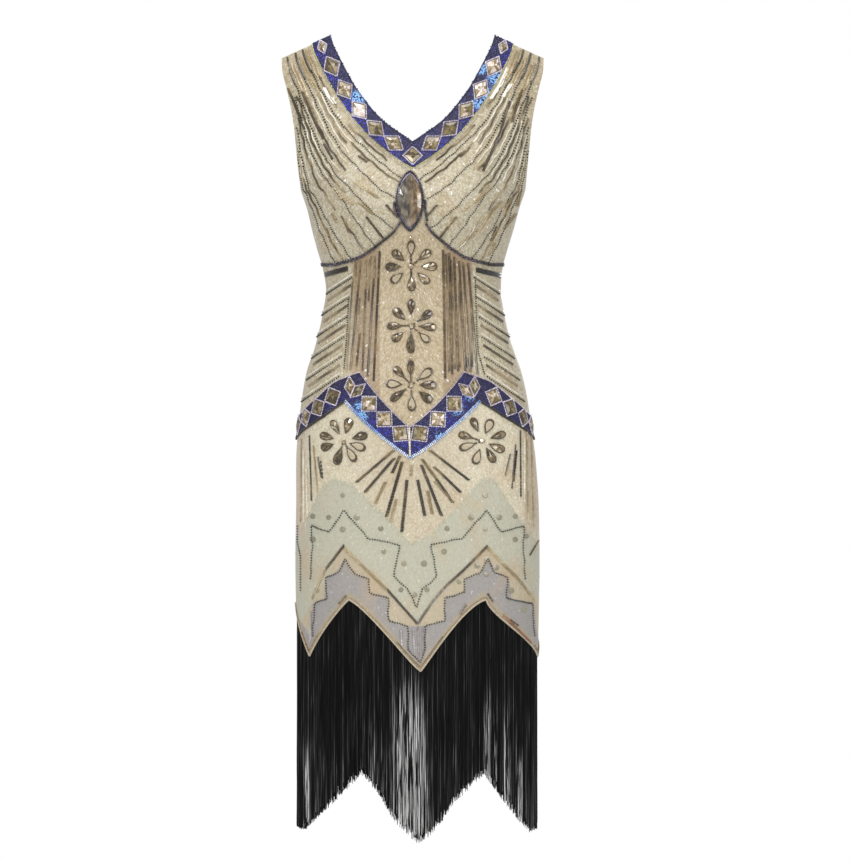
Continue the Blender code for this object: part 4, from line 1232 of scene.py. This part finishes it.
def makeBustLines():
    for side, name in ((-1, "Right"), (1, "Left")):
        spot = bustFrame(side)

        def line(number, between, start, end, lift, reach=bust["wave"]):
            t = np.linspace(start, end, max(int(bust["points"] * (end - start)), 8))
            return layLine(wavy(spot(bustShare(number, between, t), t), reach, number + side), lift)

        start, change = bust["start"], bust["brownUntil"]
        dotted = [line(k, 0, bust["from"][k], bust["fineFrom"], seed["lift"]) for k in range(6)]
        fine = [line(k, 0, bust["fineFrom"], 1.0, seed["lift"]) for k in range(6)]
        thick = [line(k, between, start, change, 0.6, 0.3) for k in range(3) for between in (0, 0.05)]
        layBeads("bustSeeds" + name, dotted, darkSeed, bust["seed"])
        layBeads("bustFineSeeds" + name, fine, darkSeed, bust["fineSeed"])
        soft = layRows(bust["tan" + name], (-0.9, 0.9), 0.4)
        layBeads("bustSoft" + name, soft, softBugle, bugleOf(1.3))
        layBeads("bustTops" + name, thick, rayBugle, bugle)
        bars = layRows(bust["dark" + name], (-0.3, 0.5), 0.7)
        layBeads("bustBars" + name, bars, stripeBugle, bugleOf(1.25))
        for kind, finish, lift, radius in (("olive", oliveBugle, 0.5, 1.45),
                                           ("pale", paleBugle, 0.25, 1.05),
                                           ("tan", tanBugle, 0.35, 1.5)):
            lines = [line(*bar, lift) for bar in bust[kind]]
            layBeads("bust" + kind.capitalize() + name, lines, finish, bugleOf(radius))
    # the painted highlight bars beside the neck band
    glintBars = layRows(bust["glintBars"], (-0.9, 0.9), 0.5)
    layBeads("bustSatin", glintBars, glintBugle, bugleOf(1.4))


makeBustLines()

empire = {"start": 6.0, "rows": (-1.5, 0.9), "bead": {"spacing": 2.3, "radius": 1.3}, "lift": 2.0}


def makeEmpireCords():
    for side, name in ((-1, "right"), (1, "left")):
        angle = np.linspace(empire["start"], 88.0, 140)
        lift = np.interp(angle, (55, 85), (empire["lift"], 0.4))
        lines = [onCloth(side * angle, empireAt(angle) + row, lift) for row in empire["rows"]]
        cordOfBeads = layBeads("empireCord" + name.capitalize(), lines, plumBead, empire["bead"])
        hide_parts("empire_trim_" + name)


makeEmpireCords()

midriff = {
    # bars down the side panels, by frame pixels: across at the top and at the foot, then from and to
    "dark": ((356, 356, 264, 275), (361, 351, 263, 369), (371, 370, 258, 265), (374, 368, 280, 375),
             (366, 363, 291, 369), (380, 374, 253, 380), (360, 357, 335, 365)),
    "brown": ((443, 445, 252, 377), (449, 452, 255, 373), (454, 458, 259, 370), (459, 465, 263, 370),
              (463, 470, 264, 370), (468, 477, 265, 373)),
    "soft": ((353, 347, 281, 371), (366, 366, 262, 290), (375, 375, 258, 277), (360, 358, 300, 330),
             (446, 449, 256, 370), (451, 455, 262, 368), (459, 460, 285, 366), (465, 467, 296, 366),
             (471, 472, 298, 366), (370, 369, 268, 300)),
    "softRows": (6.6, 7.6), "paleRow": -3.0, "dashRows": (-1.4, 0.2, 1.8),
    # slanting lines of each side, by frame pixels out from the middle and down, each a step below the last
    "slants": {"count": 6, "middle": 413, "inner": (61, 278), "innerStep": (2.6, 19.8), "outer": (86, 294),
               "outerStep": (5, 21.5)},
    "dashes": (((326, 274.5), (347, 269)), ((477, 270.4), (500, 275.4))),
    "dots": (((349, 300), (348, 322), (346.5, 345), (344.5, 368)),
             ((475, 281), (476.5, 330), (478, 352), (484, 374))),
}


def slantLines(side):
    slants = midriff["slants"]
    ends = [[np.array(slants[end]) + k * np.array(slants[end + "Step"]) for end in ("inner", "outer")]
            for k in range(slants["count"])]
    return [np.array(pair) * (side, 1) + (slants["middle"], 0) for pair in ends]


def makeMidriff():
    for kind, finish, radius in (("dark", rayBugle, 1.4), ("brown", stripeBugle, 1.5),
                                 ("soft", oliveBugle, 1.1)):
        bars = [layLine([(top, start), (foot, end)], bugle["lift"])
                for top, foot, start, end in midriff[kind]]
        layBeads("waistStripes" + kind.capitalize(), bars, finish, bugleOf(radius))
    dotted, soft, pale = [], [], []
    for slants in (slantLines(-1), slantLines(1)):
        dotted += [layLine(line, seed["lift"]) for line in slants]
        inside = [np.array(line) * 0.85 + np.array(line).mean(0) * 0.15 for line in slants[:-1]]
        soft += layRows(inside, midriff["softRows"], 0.4, True)
        pale += layRows(slants, [midriff["paleRow"]], 0.3, True)
    layBeads("waistSlantSeeds", dotted, darkSeed, seed)
    layBeads("waistSlantBugles", soft, oliveBugle, bugleOf(1.2))
    layBeads("waistDots", [layLine(line, 0.5) for line in midriff["dots"]], darkSeed, bust["fineSeed"])
    layBeads("waistSlantPale", pale, paleBugle, bugleOf(1.1))
    layBeads("waistDashes", layRows(midriff["dashes"], midriff["dashRows"], 0.6, True), blackBugle,
             bugleOf(1.3))


makeMidriff()
print("scene: beaded lines of the bodice and the waist")

rays = {
    "bars": (((393, 451), (358, 481)), ((393.6, 459), (366, 491)), ((402, 463), (387, 515)),
             ((407, 481), (402, 530)), ((418, 481), (424.6, 514)), ((422, 466), (441, 514)),
             ((423, 460), (452, 501)), ((435, 467.5), (459.5, 491)), ((431, 451), (467.5, 479)),
             ((399.5, 457), (393, 471.5))),
    "faint": (((385, 483), (376, 502)), ((411.5, 466), (411, 474)), ((436, 482), (452.5, 501)),
              ((428, 492), (432, 512)), ((396, 500), (391, 520))),
    "sideDark": (((310, 437), (312, 499)), ((318.5, 458), (321.5, 476)), ((321.3, 462), (323, 477)),
                 ((520, 432), (520.5, 495)), ((509.8, 455), (505.4, 474)), ((515.2, 446), (511.6, 487)),
                 ((516.4, 452), (513.5, 480))),
    "sideBrown": (((314, 447), (318, 490)), ((302, 440), (301, 520)), ((526.5, 432), (528, 520)),
                  ((531, 436), (533.5, 525))),
    "sidePale": (((304, 452), (304.5, 520)), ((307, 470), (308, 515)), ((524, 440), (524, 500))),
}
hemLines = {
    "side": ((298, 526), (297.6, 541), (301, 556), (301, 590)),
    # the zigzag's stretches, dark and soft
    "brown": (((343.6, 545.4), (327, 567)),
              ((388.2, 589), (417.6, 622), (432.3, 600), (445.7, 584.6), (463.6, 568.6), (486, 546))),
    "soft": (((326, 568), (313, 596)), ((346, 548), (387, 588)),
             ((488, 547), (504, 564), (517, 576.6), (534, 598))),
    "pale": (((413, 629), (414.5, 650)), ((418, 628), (419, 656)), ((423, 627), (423, 652)),
             ((311.5, 612), (311, 640)), ((401, 630), (402, 643))),
    "bars": (((464.8, 605), (460.5, 612)), ((538, 541), (530, 554)), ((488, 594), (492, 600)),
             ((511, 620), (517, 624)), ((345.5, 596), (340, 602))),
    "rust": (((504, 615), (530, 641)),),
    "steps": 26.0, "above": {"first": 128, "brown": 84, "second": 48},
}


def backHemLine(above, stepped):
    # a line round the back that follows the hem, in steps or straight
    angle = np.linspace(99, 261, 900)
    drop = hemDrop(angle) - above
    if stepped:
        step = hemLines["steps"]
        share = drop / step
        drop = (np.floor(share) + np.clip((share - np.floor(share) - 0.5) * 5 + 0.5, 0, 1)) * step
    return onCloth(angle, drop, seed["lift"], 1)


def makeSkirtLines():
    wide = bugleOf(1.1)
    layBeads("rayBars", layRows(rays["bars"], (-0.8, 0.8), 0.5), rayBugle, wide)
    layBeads("rayFaint", layRows(rays["faint"], (-0.8, 0.8), 0.4), softBugle, wide)
    for name, finish, radius in (("sideDark", rayBugle, bugle["radius"]), ("sideBrown", softBugle, 1.3),
                                 ("sidePale", paleBugle, 1.3)):
        layBeads(name, layRows(rays[name], [0], 0.45), finish, bugleOf(radius))
    stepped = [wavy(denser(steppedLine(number), 1.5), steps["wander"], number) for number in (0, 1)]
    seeds = [layLine(line, seed["lift"]) for line in (*stepped, hemLines["side"])]
    layBeads("steppedSeeds", seeds, darkSeed, {**seed, "spacing": 3.4, "radius": 1.3})
    for name, kind, finish, rows, radius in (("brownZigzag", "brown", stripeBugle, (0, 1.5), 1.1),
                                             ("softZigzag", "soft", softBugle, (0, 1.7), 1.2),
                                             ("hemPale", "pale", mauveBugle, (0,), 1.3),
                                             ("hemBars", "bars", stripeBugle, (0,), 1.3),
                                             ("hemRust", "rust", rustBugle, (0, 1.6), 1.2)):
        layBeads(name, layRows(hemLines[kind], rows, 0.45, True), finish, bugleOf(radius))
    layBeads("backSteppedSeeds", [backHemLine(hemLines["above"]["first"], True),
                                  backHemLine(hemLines["above"]["second"], True)], darkSeed, seed)
    layBeads("backZigzag", [backHemLine(hemLines["above"]["brown"], False)], brownBugle, bugle)


makeSkirtLines()
print("scene: beaded lines of the skirt")


bandBase = {"low": 0.7, "high": 1.15, "across": 8, "step": 3.0}
# pitch grows from the centre outwards, and across is a lozenge's half height in millimetres
neckLozenge = {"pitch": 28.6, "growth": 0.66, "count": 6, "half": 15.0, "across": 11.8, "share": 0.55,
               "corner": (10.5, 0.66), "middleShade": 0.45,
               # shades: each stone's tone from the centre outwards; the palest, 0.95 and 0.85, are painted
               # near white as a painted highlight where those stones catch the light
               "shades": ((0.6, 0.42, 0.95, 0.6, 0.4, 0.5), (0.6, 0.42, 0.55, 0.85, 0.7, 0.6))}
hipLozenge = {"across": 13.6, "share": 0.45, "armShare": 0.5, "armFrom": 120,
              "shades": ((0.55, 0.6, 0.65, 0.35, 0.5, 0.3, 0.4, 0.5, 0.4),
                         (0.5, 0.7, 0.5, 0.55, 0.45, 0.65, 0.35, 0.4, 0.5)),
              # millimetres from the centre, and half length
              "places": ((16.2, 13.8), (45.2, 13.8), (74.5, 13.8), (98.0, 7.5), (113.0, 7.5), (141.0, 13.0),
                         (169.5, 13.0), (198.0, 12.5), (225.0, 12.5))}
lozenge = {"ground": ((1.0, 1.1), (1.0, 1.75), (0.84, 1.9)), "stone": ((0.8, 1.7), (0.8, 2.3), (0.4, 3.9)),
           "edgePoints": 3}


def makeBand(name, strip, behind, nodes, gap, facing):
    count = int(2 * strip.total / bandBase["step"])
    along = np.linspace(-strip.total, strip.total, count)
    if behind:
        along = along[::-1]
    share = np.linspace(0, 1, bandBase["across"] + 1)
    place = strip.onBack if behind else strip.place
    angle, drop = place(*np.meshgrid(along, share))
    ground = Finish(name + "Ground", Roughness=0.5)
    weave = ground.uv("weave")
    threads = ground.add("ShaderNodeTexVoronoi", {"Vector": weave, "Scale": 520.0})
    ground.colour(ground.ramp(threads.outputs["Distance"],
                              ((0.0, "#2c2a80"), (0.5, "#19184a"), (1.0, "#0d0c22"))))
    ground.bump(threads.outputs["Distance"], 0.4, 0.0005)
    base = gridWall(name, angle, drop, bandBase["low"], bandBase["high"], ground.material, facing)
    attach(base, "dress")
    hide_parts(*nodes)
    outside = onCloth(angle, drop, np.full(angle.shape, bandBase["high"] + 0.15), facing)
    # the half next to the free edge is darker
    for label, rows, finish in (("Sequins", outside[bandBase["across"] // 2:], blueSequin),
                                ("DarkSequins", outside[:bandBase["across"] // 2 + 1], inkSequin)):
        index = np.arange(rows.shape[0] * rows.shape[1]).reshape(rows.shape[:2])
        carrier = storeMesh(name + "Carrier", rows.reshape(-1, 3), gridQuads(index), ground.material)
        sequins = runTree(carrier, sequinTree, name + label, Finish=finish, Gap=gap)
        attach(sequins, "dress")


def diamond(half, across):
    # the outline of a lozenge in millimetres along and across its band
    corners = np.array([(-half, 0), (0, across), (half, 0), (0, -across), (-half, 0)])
    steps = lozenge["edgePoints"]
    return np.concatenate([np.linspace(a, b, steps, endpoint=False) for a, b in zip(corners, corners[1:])])


def lozengeSpots(strip, sizes):
    # of each lozenge on both sides: place along the band, share across, half length, half height, shade
    spots = []
    if "places" in sizes:
        for number, (out, half) in enumerate(sizes["places"]):
            if out + half > strip.total:
                continue
            share = sizes["armShare" if out > sizes["armFrom"] else "share"]
            spots += [(side * out, share, half, sizes["across"], sizes["shades"][side > 0][number])
                      for side in (-1, 1)]
        return spots
    half, across = sizes["half"], sizes["across"]
    spots.append((0.0, sizes["share"], half, across, sizes["middleShade"]))
    for number in range(1, sizes["count"] + 1):
        out = number * (sizes["pitch"] + sizes["growth"] * number)
        if out + 0.8 * half <= strip.total:
            spots += [(side * out, sizes["share"], half, across, sizes["shades"][side > 0][number - 1])
                      for side in (-1, 1)]
    inside, small = sizes["corner"]
    return spots + [(side * (strip.total - inside), sizes["share"], half * small, across * small, 0.5)
                    for side in (-1, 1)]


def makeLozenges(name, strip, sizes, front=True):
    ground, stones = Stones(), Stones()
    lines = []
    for centre, share, half, across, shade in lozengeSpots(strip, sizes):
        spot = strip.around(centre, share, front)
        outline = diamond(half, across)
        outline = outline if (centre >= 0) == front else outline[::-1]
        ground.add(outline, lozenge["ground"], spot, 0.4, 0.3)
        if front:
            stones.add(outline, lozenge["stone"], spot, shade, 0.6)
        loop = denser(np.concatenate([outline, outline[:1]]), 1.0)
        angle, drop = spot(loop[:, 0], loop[:, 1])
        lines.append(onCloth(angle, drop, 2.0))
    ground.build(name + "Grounds", darkSetting)
    if front:
        stones.build(name + "Stones", lozengeGlass)
    layBeads(name + "Outlines", lines, lilacBead, {"spacing": 2.1, "radius": 1.1})


def edgeLine(strip, share, lift, front=True, first=-1.0, last=1.0):
    # first and last are shares of the way from the centre to the ends
    along = np.linspace(first * strip.total, last * strip.total, 400)
    place = strip.place if front else strip.onBack
    return onCloth(*place(along, np.full(400, share)), lift)


def makeBands():
    makeBand("neckBand", neckStrip, False, ("neck_band_front",), 0.0021, -1)
    makeBand("hipBand", hipStrip, False, ("hip_band_front",), 0.0022, -1)
    makeBand("neckBandBack", neckStrip, True, ("neck_band_back_left", "neck_band_back_right"), 0.0027, 1)
    makeBand("hipBandBack", hipStripBehind, True, ("hip_band_back_left", "hip_band_back_right"), 0.0029, 1)
    edging = {"spacing": 2.0, "radius": 0.95}
    lower = {"spacing": 2.5, "radius": 1.35}
    for front, where in ((True, ""), (False, "Back")):
        neck, hips = (neckStrip, hipStrip) if front else (neckStrip, hipStripBehind)
        makeLozenges("neckLozenge" + where, neck, neckLozenge, front)
        makeLozenges("hipLozenge" + where, hips, hipLozenge, front)
        for name, strip, share, lift, finish in (("neckEdging", neck, 1.03, 0.8, limeBead),
                                                 ("neckRim", neck, 0.02, 1.8, inkBead),
                                                 ("hipUpperEdge", hips, -0.02, 1.4, lilacBead)):
            layBeads(name + where, [edgeLine(strip, share, lift, front)], finish, edging)
        slope = np.interp(7, hips.rows, hips.length) / hips.total
        # the edge along the slopes is painted sky-blue, a painted highlight where it catches the light; the
        # arms' edge stays black
        slopes = [edgeLine(hips, share, 1.2, front, -slope, slope) for share in (1.02, 1.08)]
        layBeads("hipSlopeEdge" + where, slopes, skyGlintBead, lower)
        arms = [edgeLine(hips, share, 1.2, front, *ends) for share in (1.0, 1.06)
                for ends in ((-1, -slope), (slope, 1))]
        layBeads("hipArmEdge" + where, arms, blackBugle, lower)
    cords = [edgeLine(neckStrip, share, 0.7, True, *ends) for share in (1.1, 1.16)
             for ends in ((-0.62, -0.04), (0.04, 0.62))]
    layBeads("neckCords", cords, paleBead, edging)
    share = np.linspace(0.02, 0.98, 30)
    centreLine = onCloth(*hipStrip.place(np.zeros(30), share), 2.0)
    layBeads("hipCentreLine", [centreLine], paleBead, {"spacing": 2.2, "radius": 1.7})


makeBands()
print("scene: neck and hip bands")


hem = {"pipingRadius": 1.4, "lift": -0.4, "beadLift": 0.5, "inside": 4.2,
       "bead": {"spacing": 2.6, "radius": 1.0}}


def hemPath(start, end, raised, lift, facing, count=700):
    angle = np.linspace(start, end, count)
    return onCloth(angle, hemDrop(angle) - raised, lift, facing)


def makeHem():
    piping = Finish("hemPiping", Roughness=0.6, Sheen_Weight=0.3)
    spot = piping.spot()
    thread = piping.noise(spot, 900.0)
    piping.colour(piping.ramp(thread, ((0.3, "#8f8069"), (0.5, "#b4a58d"), (0.7, "#d2c6b0"))))
    piping.bump(thread, 0.3, 0.0004)
    for name, start, end, facing in (("hemPipingFront", -89.8, 89.8, -1),
                                     ("hemPipingBack", 90.2, 269.8, 1)):
        line = hemPath(start, end, hem["pipingRadius"] * 0.6, hem["lift"], facing)
        curve = pathObject(name + "Path", [line])
        curve.data.bevel_depth = hem["pipingRadius"] * mm
        curve.data.bevel_resolution = 2
        curve.data.use_fill_caps = True
        item = keepMesh(curve, name)
        item.data.materials.clear()
        item.data.materials.append(piping.material)
        item.data.shade_smooth()
        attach(item, "dress")
    for name, facing, points, ends in (("hemBeads", -1, (-62, 1.0, 84), (-89, 89)),
                                       ("hemBeadsBack", 1, (147.7, 212.3), (91, 269))):
        low, high = ends
        whole = hemPath(low, high, hem["inside"], hem["beadLift"], facing)
        layBeads(name, [whole], softBugle, hem["bead"])
        tips = [hemPath(max(low, point - 9), min(high, point + 9), hem["inside"] + 2.2, hem["beadLift"],
                        facing, 120) for point in points]
        layBeads(name + "Tips", tips, hemBead, hem["bead"])


makeHem()

fringe = {
    # the roots lie this many millimetres above the hem's edge, on a path of so many points
    "length": 0.224, "radius": 0.00048, "above": 3.0, "points": 1400,
    # where the strands end, by frame pixels
    "ends": ((296, 827), (304, 830), (334, 801), (350, 785), (361, 774), (370, 784), (382, 800),
             (395, 821), (418, 843), (431, 833), (442, 820), (455, 801), (484.5, 774), (503, 800),
             (521, 821), (531, 832), (538, 829)),
    # lift behind the cloth, distance between strands, share that they may be shorter, sway
    "layers": ((-1.9, 0.00062, 0.06, 0.0035), (-3.0, 0.0008, 0.16, 0.005)),
}


# where threads catch the light: middle and half width of x, and the height where it starts, in metres
threadGlints = ((-0.004, 0.031, -0.85, 0.5), (0.097, 0.007, -0.865, 0.4), (0.108, 0.004, -0.88, 0.4),
                (0.123, 0.007, -0.90, 0.45), (0.139, 0.006, -0.93, 0.5), (-0.141, 0.006, -0.935, 0.45),
                (-0.045, 0.02, -0.93, 0.14))


def fringeFinish():
    finish = Finish("blackThread", Roughness=0.5, Specular_IOR_Level=0.12)
    shade = finish.attribute("shade")
    spot = finish.split(finish.spot())
    # grey streaks that vary from strand to strand and along each one: a painted sheen of the satin threads
    place = finish.add("ShaderNodeCombineXYZ", {0: finish.times(spot[0], 330.0),
                                                1: finish.times(shade, 23.0),
                                                2: finish.times(spot[2], 13.0)})
    streak = finish.noise(place.outputs[0], 1.0, 2.0)
    lit = 0.0
    for middleAt, half, start, strength in threadGlints:
        away = finish.math("ABSOLUTE", finish.math("SUBTRACT", spot[0], middleAt))
        region = finish.times(finish.step(away, half, half * 0.3),
                              finish.step(spot[2], start + 0.04, start - 0.06))
        lit = finish.math("MULTIPLY_ADD", region, strength, lit)
    lit = finish.times(lit, finish.step(streak, 0.46, 0.6))
    ends = finish.times(finish.step(spot[2], -0.86, -1.03), 0.07)
    value = finish.math("ADD", finish.math("ADD", finish.times(streak, 0.75),
                                           finish.times(shade, 0.3)), finish.math("ADD", lit, ends))
    # strands behind the dress are painted a little darker: painted shade
    front = finish.step(spot[1], 0.03, -0.02)
    value = finish.math("SUBTRACT", value, finish.times(finish.rest(front), 0.06))
    finish.colour(finish.ramp(value, ((0.0, "#020202"), (0.58, "#060606"), (0.7, "#2c2c2c"),
                                      (0.85, "#757575"), (1.0, "#cfcfcf"))))
    return finish.material


def makeFringe():
    thread, above = fringeFinish(), fringe["above"]
    reach = fringe["length"] + above * mm
    for name, node, start, end, facing in (("fringeFront", "fringe_front", -89.92, 89.92, -1),
                                           ("fringeBack", "fringe_back", 90.08, 269.92, 1)):
        for number, (lift, pitch, spread, sway) in enumerate(fringe["layers"]):
            # roots lie on a level line so that the strands are evenly spaced, then drop to the hem
            angle = np.linspace(start, end, fringe["points"])
            drop = hemDrop(angle)
            across = toFrame(angle, drop)[:, 0]
            bottom = (np.interp(across, *np.transpose(fringe["ends"])) - topY) * pixel
            radii = (bottom - drop + above) * mm / reach
            path = pathObject(name + "Path", [hemPath(start, end, above, lift, facing, fringe["points"])],
                              radii)
            made = runTree(path, strandTree, name + str(number), Finish=thread, **{
                "Pitch": pitch, "Length Spread": spread, "Wave": sway, "Seed": 2 + number,
                "Strand Length": reach, "Strand Radius": fringe["radius"]})
            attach(made, "dress")
            if number == 0:
                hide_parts(node)


makeFringe()
print("scene: hem and fringe")


def makeZipFinish():
    brass = Finish("agedBrass", Metallic=1.0)
    spot = brass.spot()
    worn = brass.noise(spot, 700.0, 4.0)
    brass.colour(brass.ramp(worn, ((0.3, "#6f5c38"), (0.5, "#a48c58"), (0.75, "#cdb67e"))))
    brass.rough(brass.math("MULTIPLY_ADD", worn, 0.35, 0.15))
    brass.bump(worn, 0.15, 0.0003)
    for node in ("zip_slider", "zip_pull"):
        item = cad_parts[node]
        item = bpy.data.objects[node] if isinstance(item, (str, dict)) else item
        for place in item.material_slots:
            place.material = brass.material


makeZipFinish()


stage = {"floorZ": -1.2, "floorRadius": 1.0, "world": 0.55, "lens": 762.2, "eye": (0.0152, -24.0, -0.5194),
         "sensor": 36, "aim": (0, 0, -0.5)}
lamps = (
    # name, place, size, power
    ("keyLight", (-1.6, -3.0, 0.9), 1.6, 55.0),
    ("fillLight", (2.2, -2.6, 0.1), 1.8, 32.0),
    ("topLight", (0.0, -0.6, 2.0), 1.4, 22.0),
    ("backLight", (0.6, 3.0, 0.6), 1.8, 40.0),
)


def makeStage():
    mesh = bmesh.new()
    bmesh.ops.create_circle(mesh, cap_ends=True, radius=stage["floorRadius"], segments=96)
    bmesh.ops.translate(mesh, verts=mesh.verts, vec=(0, 0, stage["floorZ"]))
    data = bpy.data.meshes.new("floor")
    mesh.to_mesh(data)
    mesh.free()
    pale = Finish("paleFloor", Roughness=0.8)
    spot = pale.spot()
    speckle = pale.noise(spot, 40.0, 4.0)
    pale.colour(pale.ramp(speckle, ((0.3, "#eeeeec"), (0.7, "#f7f7f5"))))
    data.materials.append(pale.material)
    addItem("floor", data)

    world = bpy.data.worlds.new("softWhite")
    world.use_nodes = True
    nodes, links = world.node_tree.nodes, world.node_tree.links
    ground = nodes["Background"]
    ground.inputs["Color"].default_value = (1, 1, 1, 1)
    ray = nodes.new("ShaderNodeLightPath")
    level = nodes.new("ShaderNodeMapRange")
    level.inputs["To Min"].default_value = stage["world"]
    level.inputs["To Max"].default_value = 1.0
    links.new(ray.outputs["Is Camera Ray"], level.inputs["Value"])
    links.new(level.outputs[0], ground.inputs["Strength"])
    scene.world = world
    scene.view_settings.view_transform = "Standard"

    for name, place, size, power in lamps:
        light = bpy.data.lights.new(name, "AREA")
        light.shape = "DISK"
        light.size = size
        light.energy = power
        lamp = addItem(name, light)
        lamp.location = place
        aim = Vector(stage["aim"]) - Vector(place)
        lamp.rotation_euler = aim.to_track_quat("-Z", "Y").to_euler()

    lens = bpy.data.cameras.new("camera")
    lens.lens = stage["lens"]
    lens.sensor_width = stage["sensor"]
    eye = addItem("camera", lens)
    eye.location = stage["eye"]
    eye.rotation_euler = (radians(90), 0, 0)
    scene.camera = eye


makeStage()
print("scene: done")
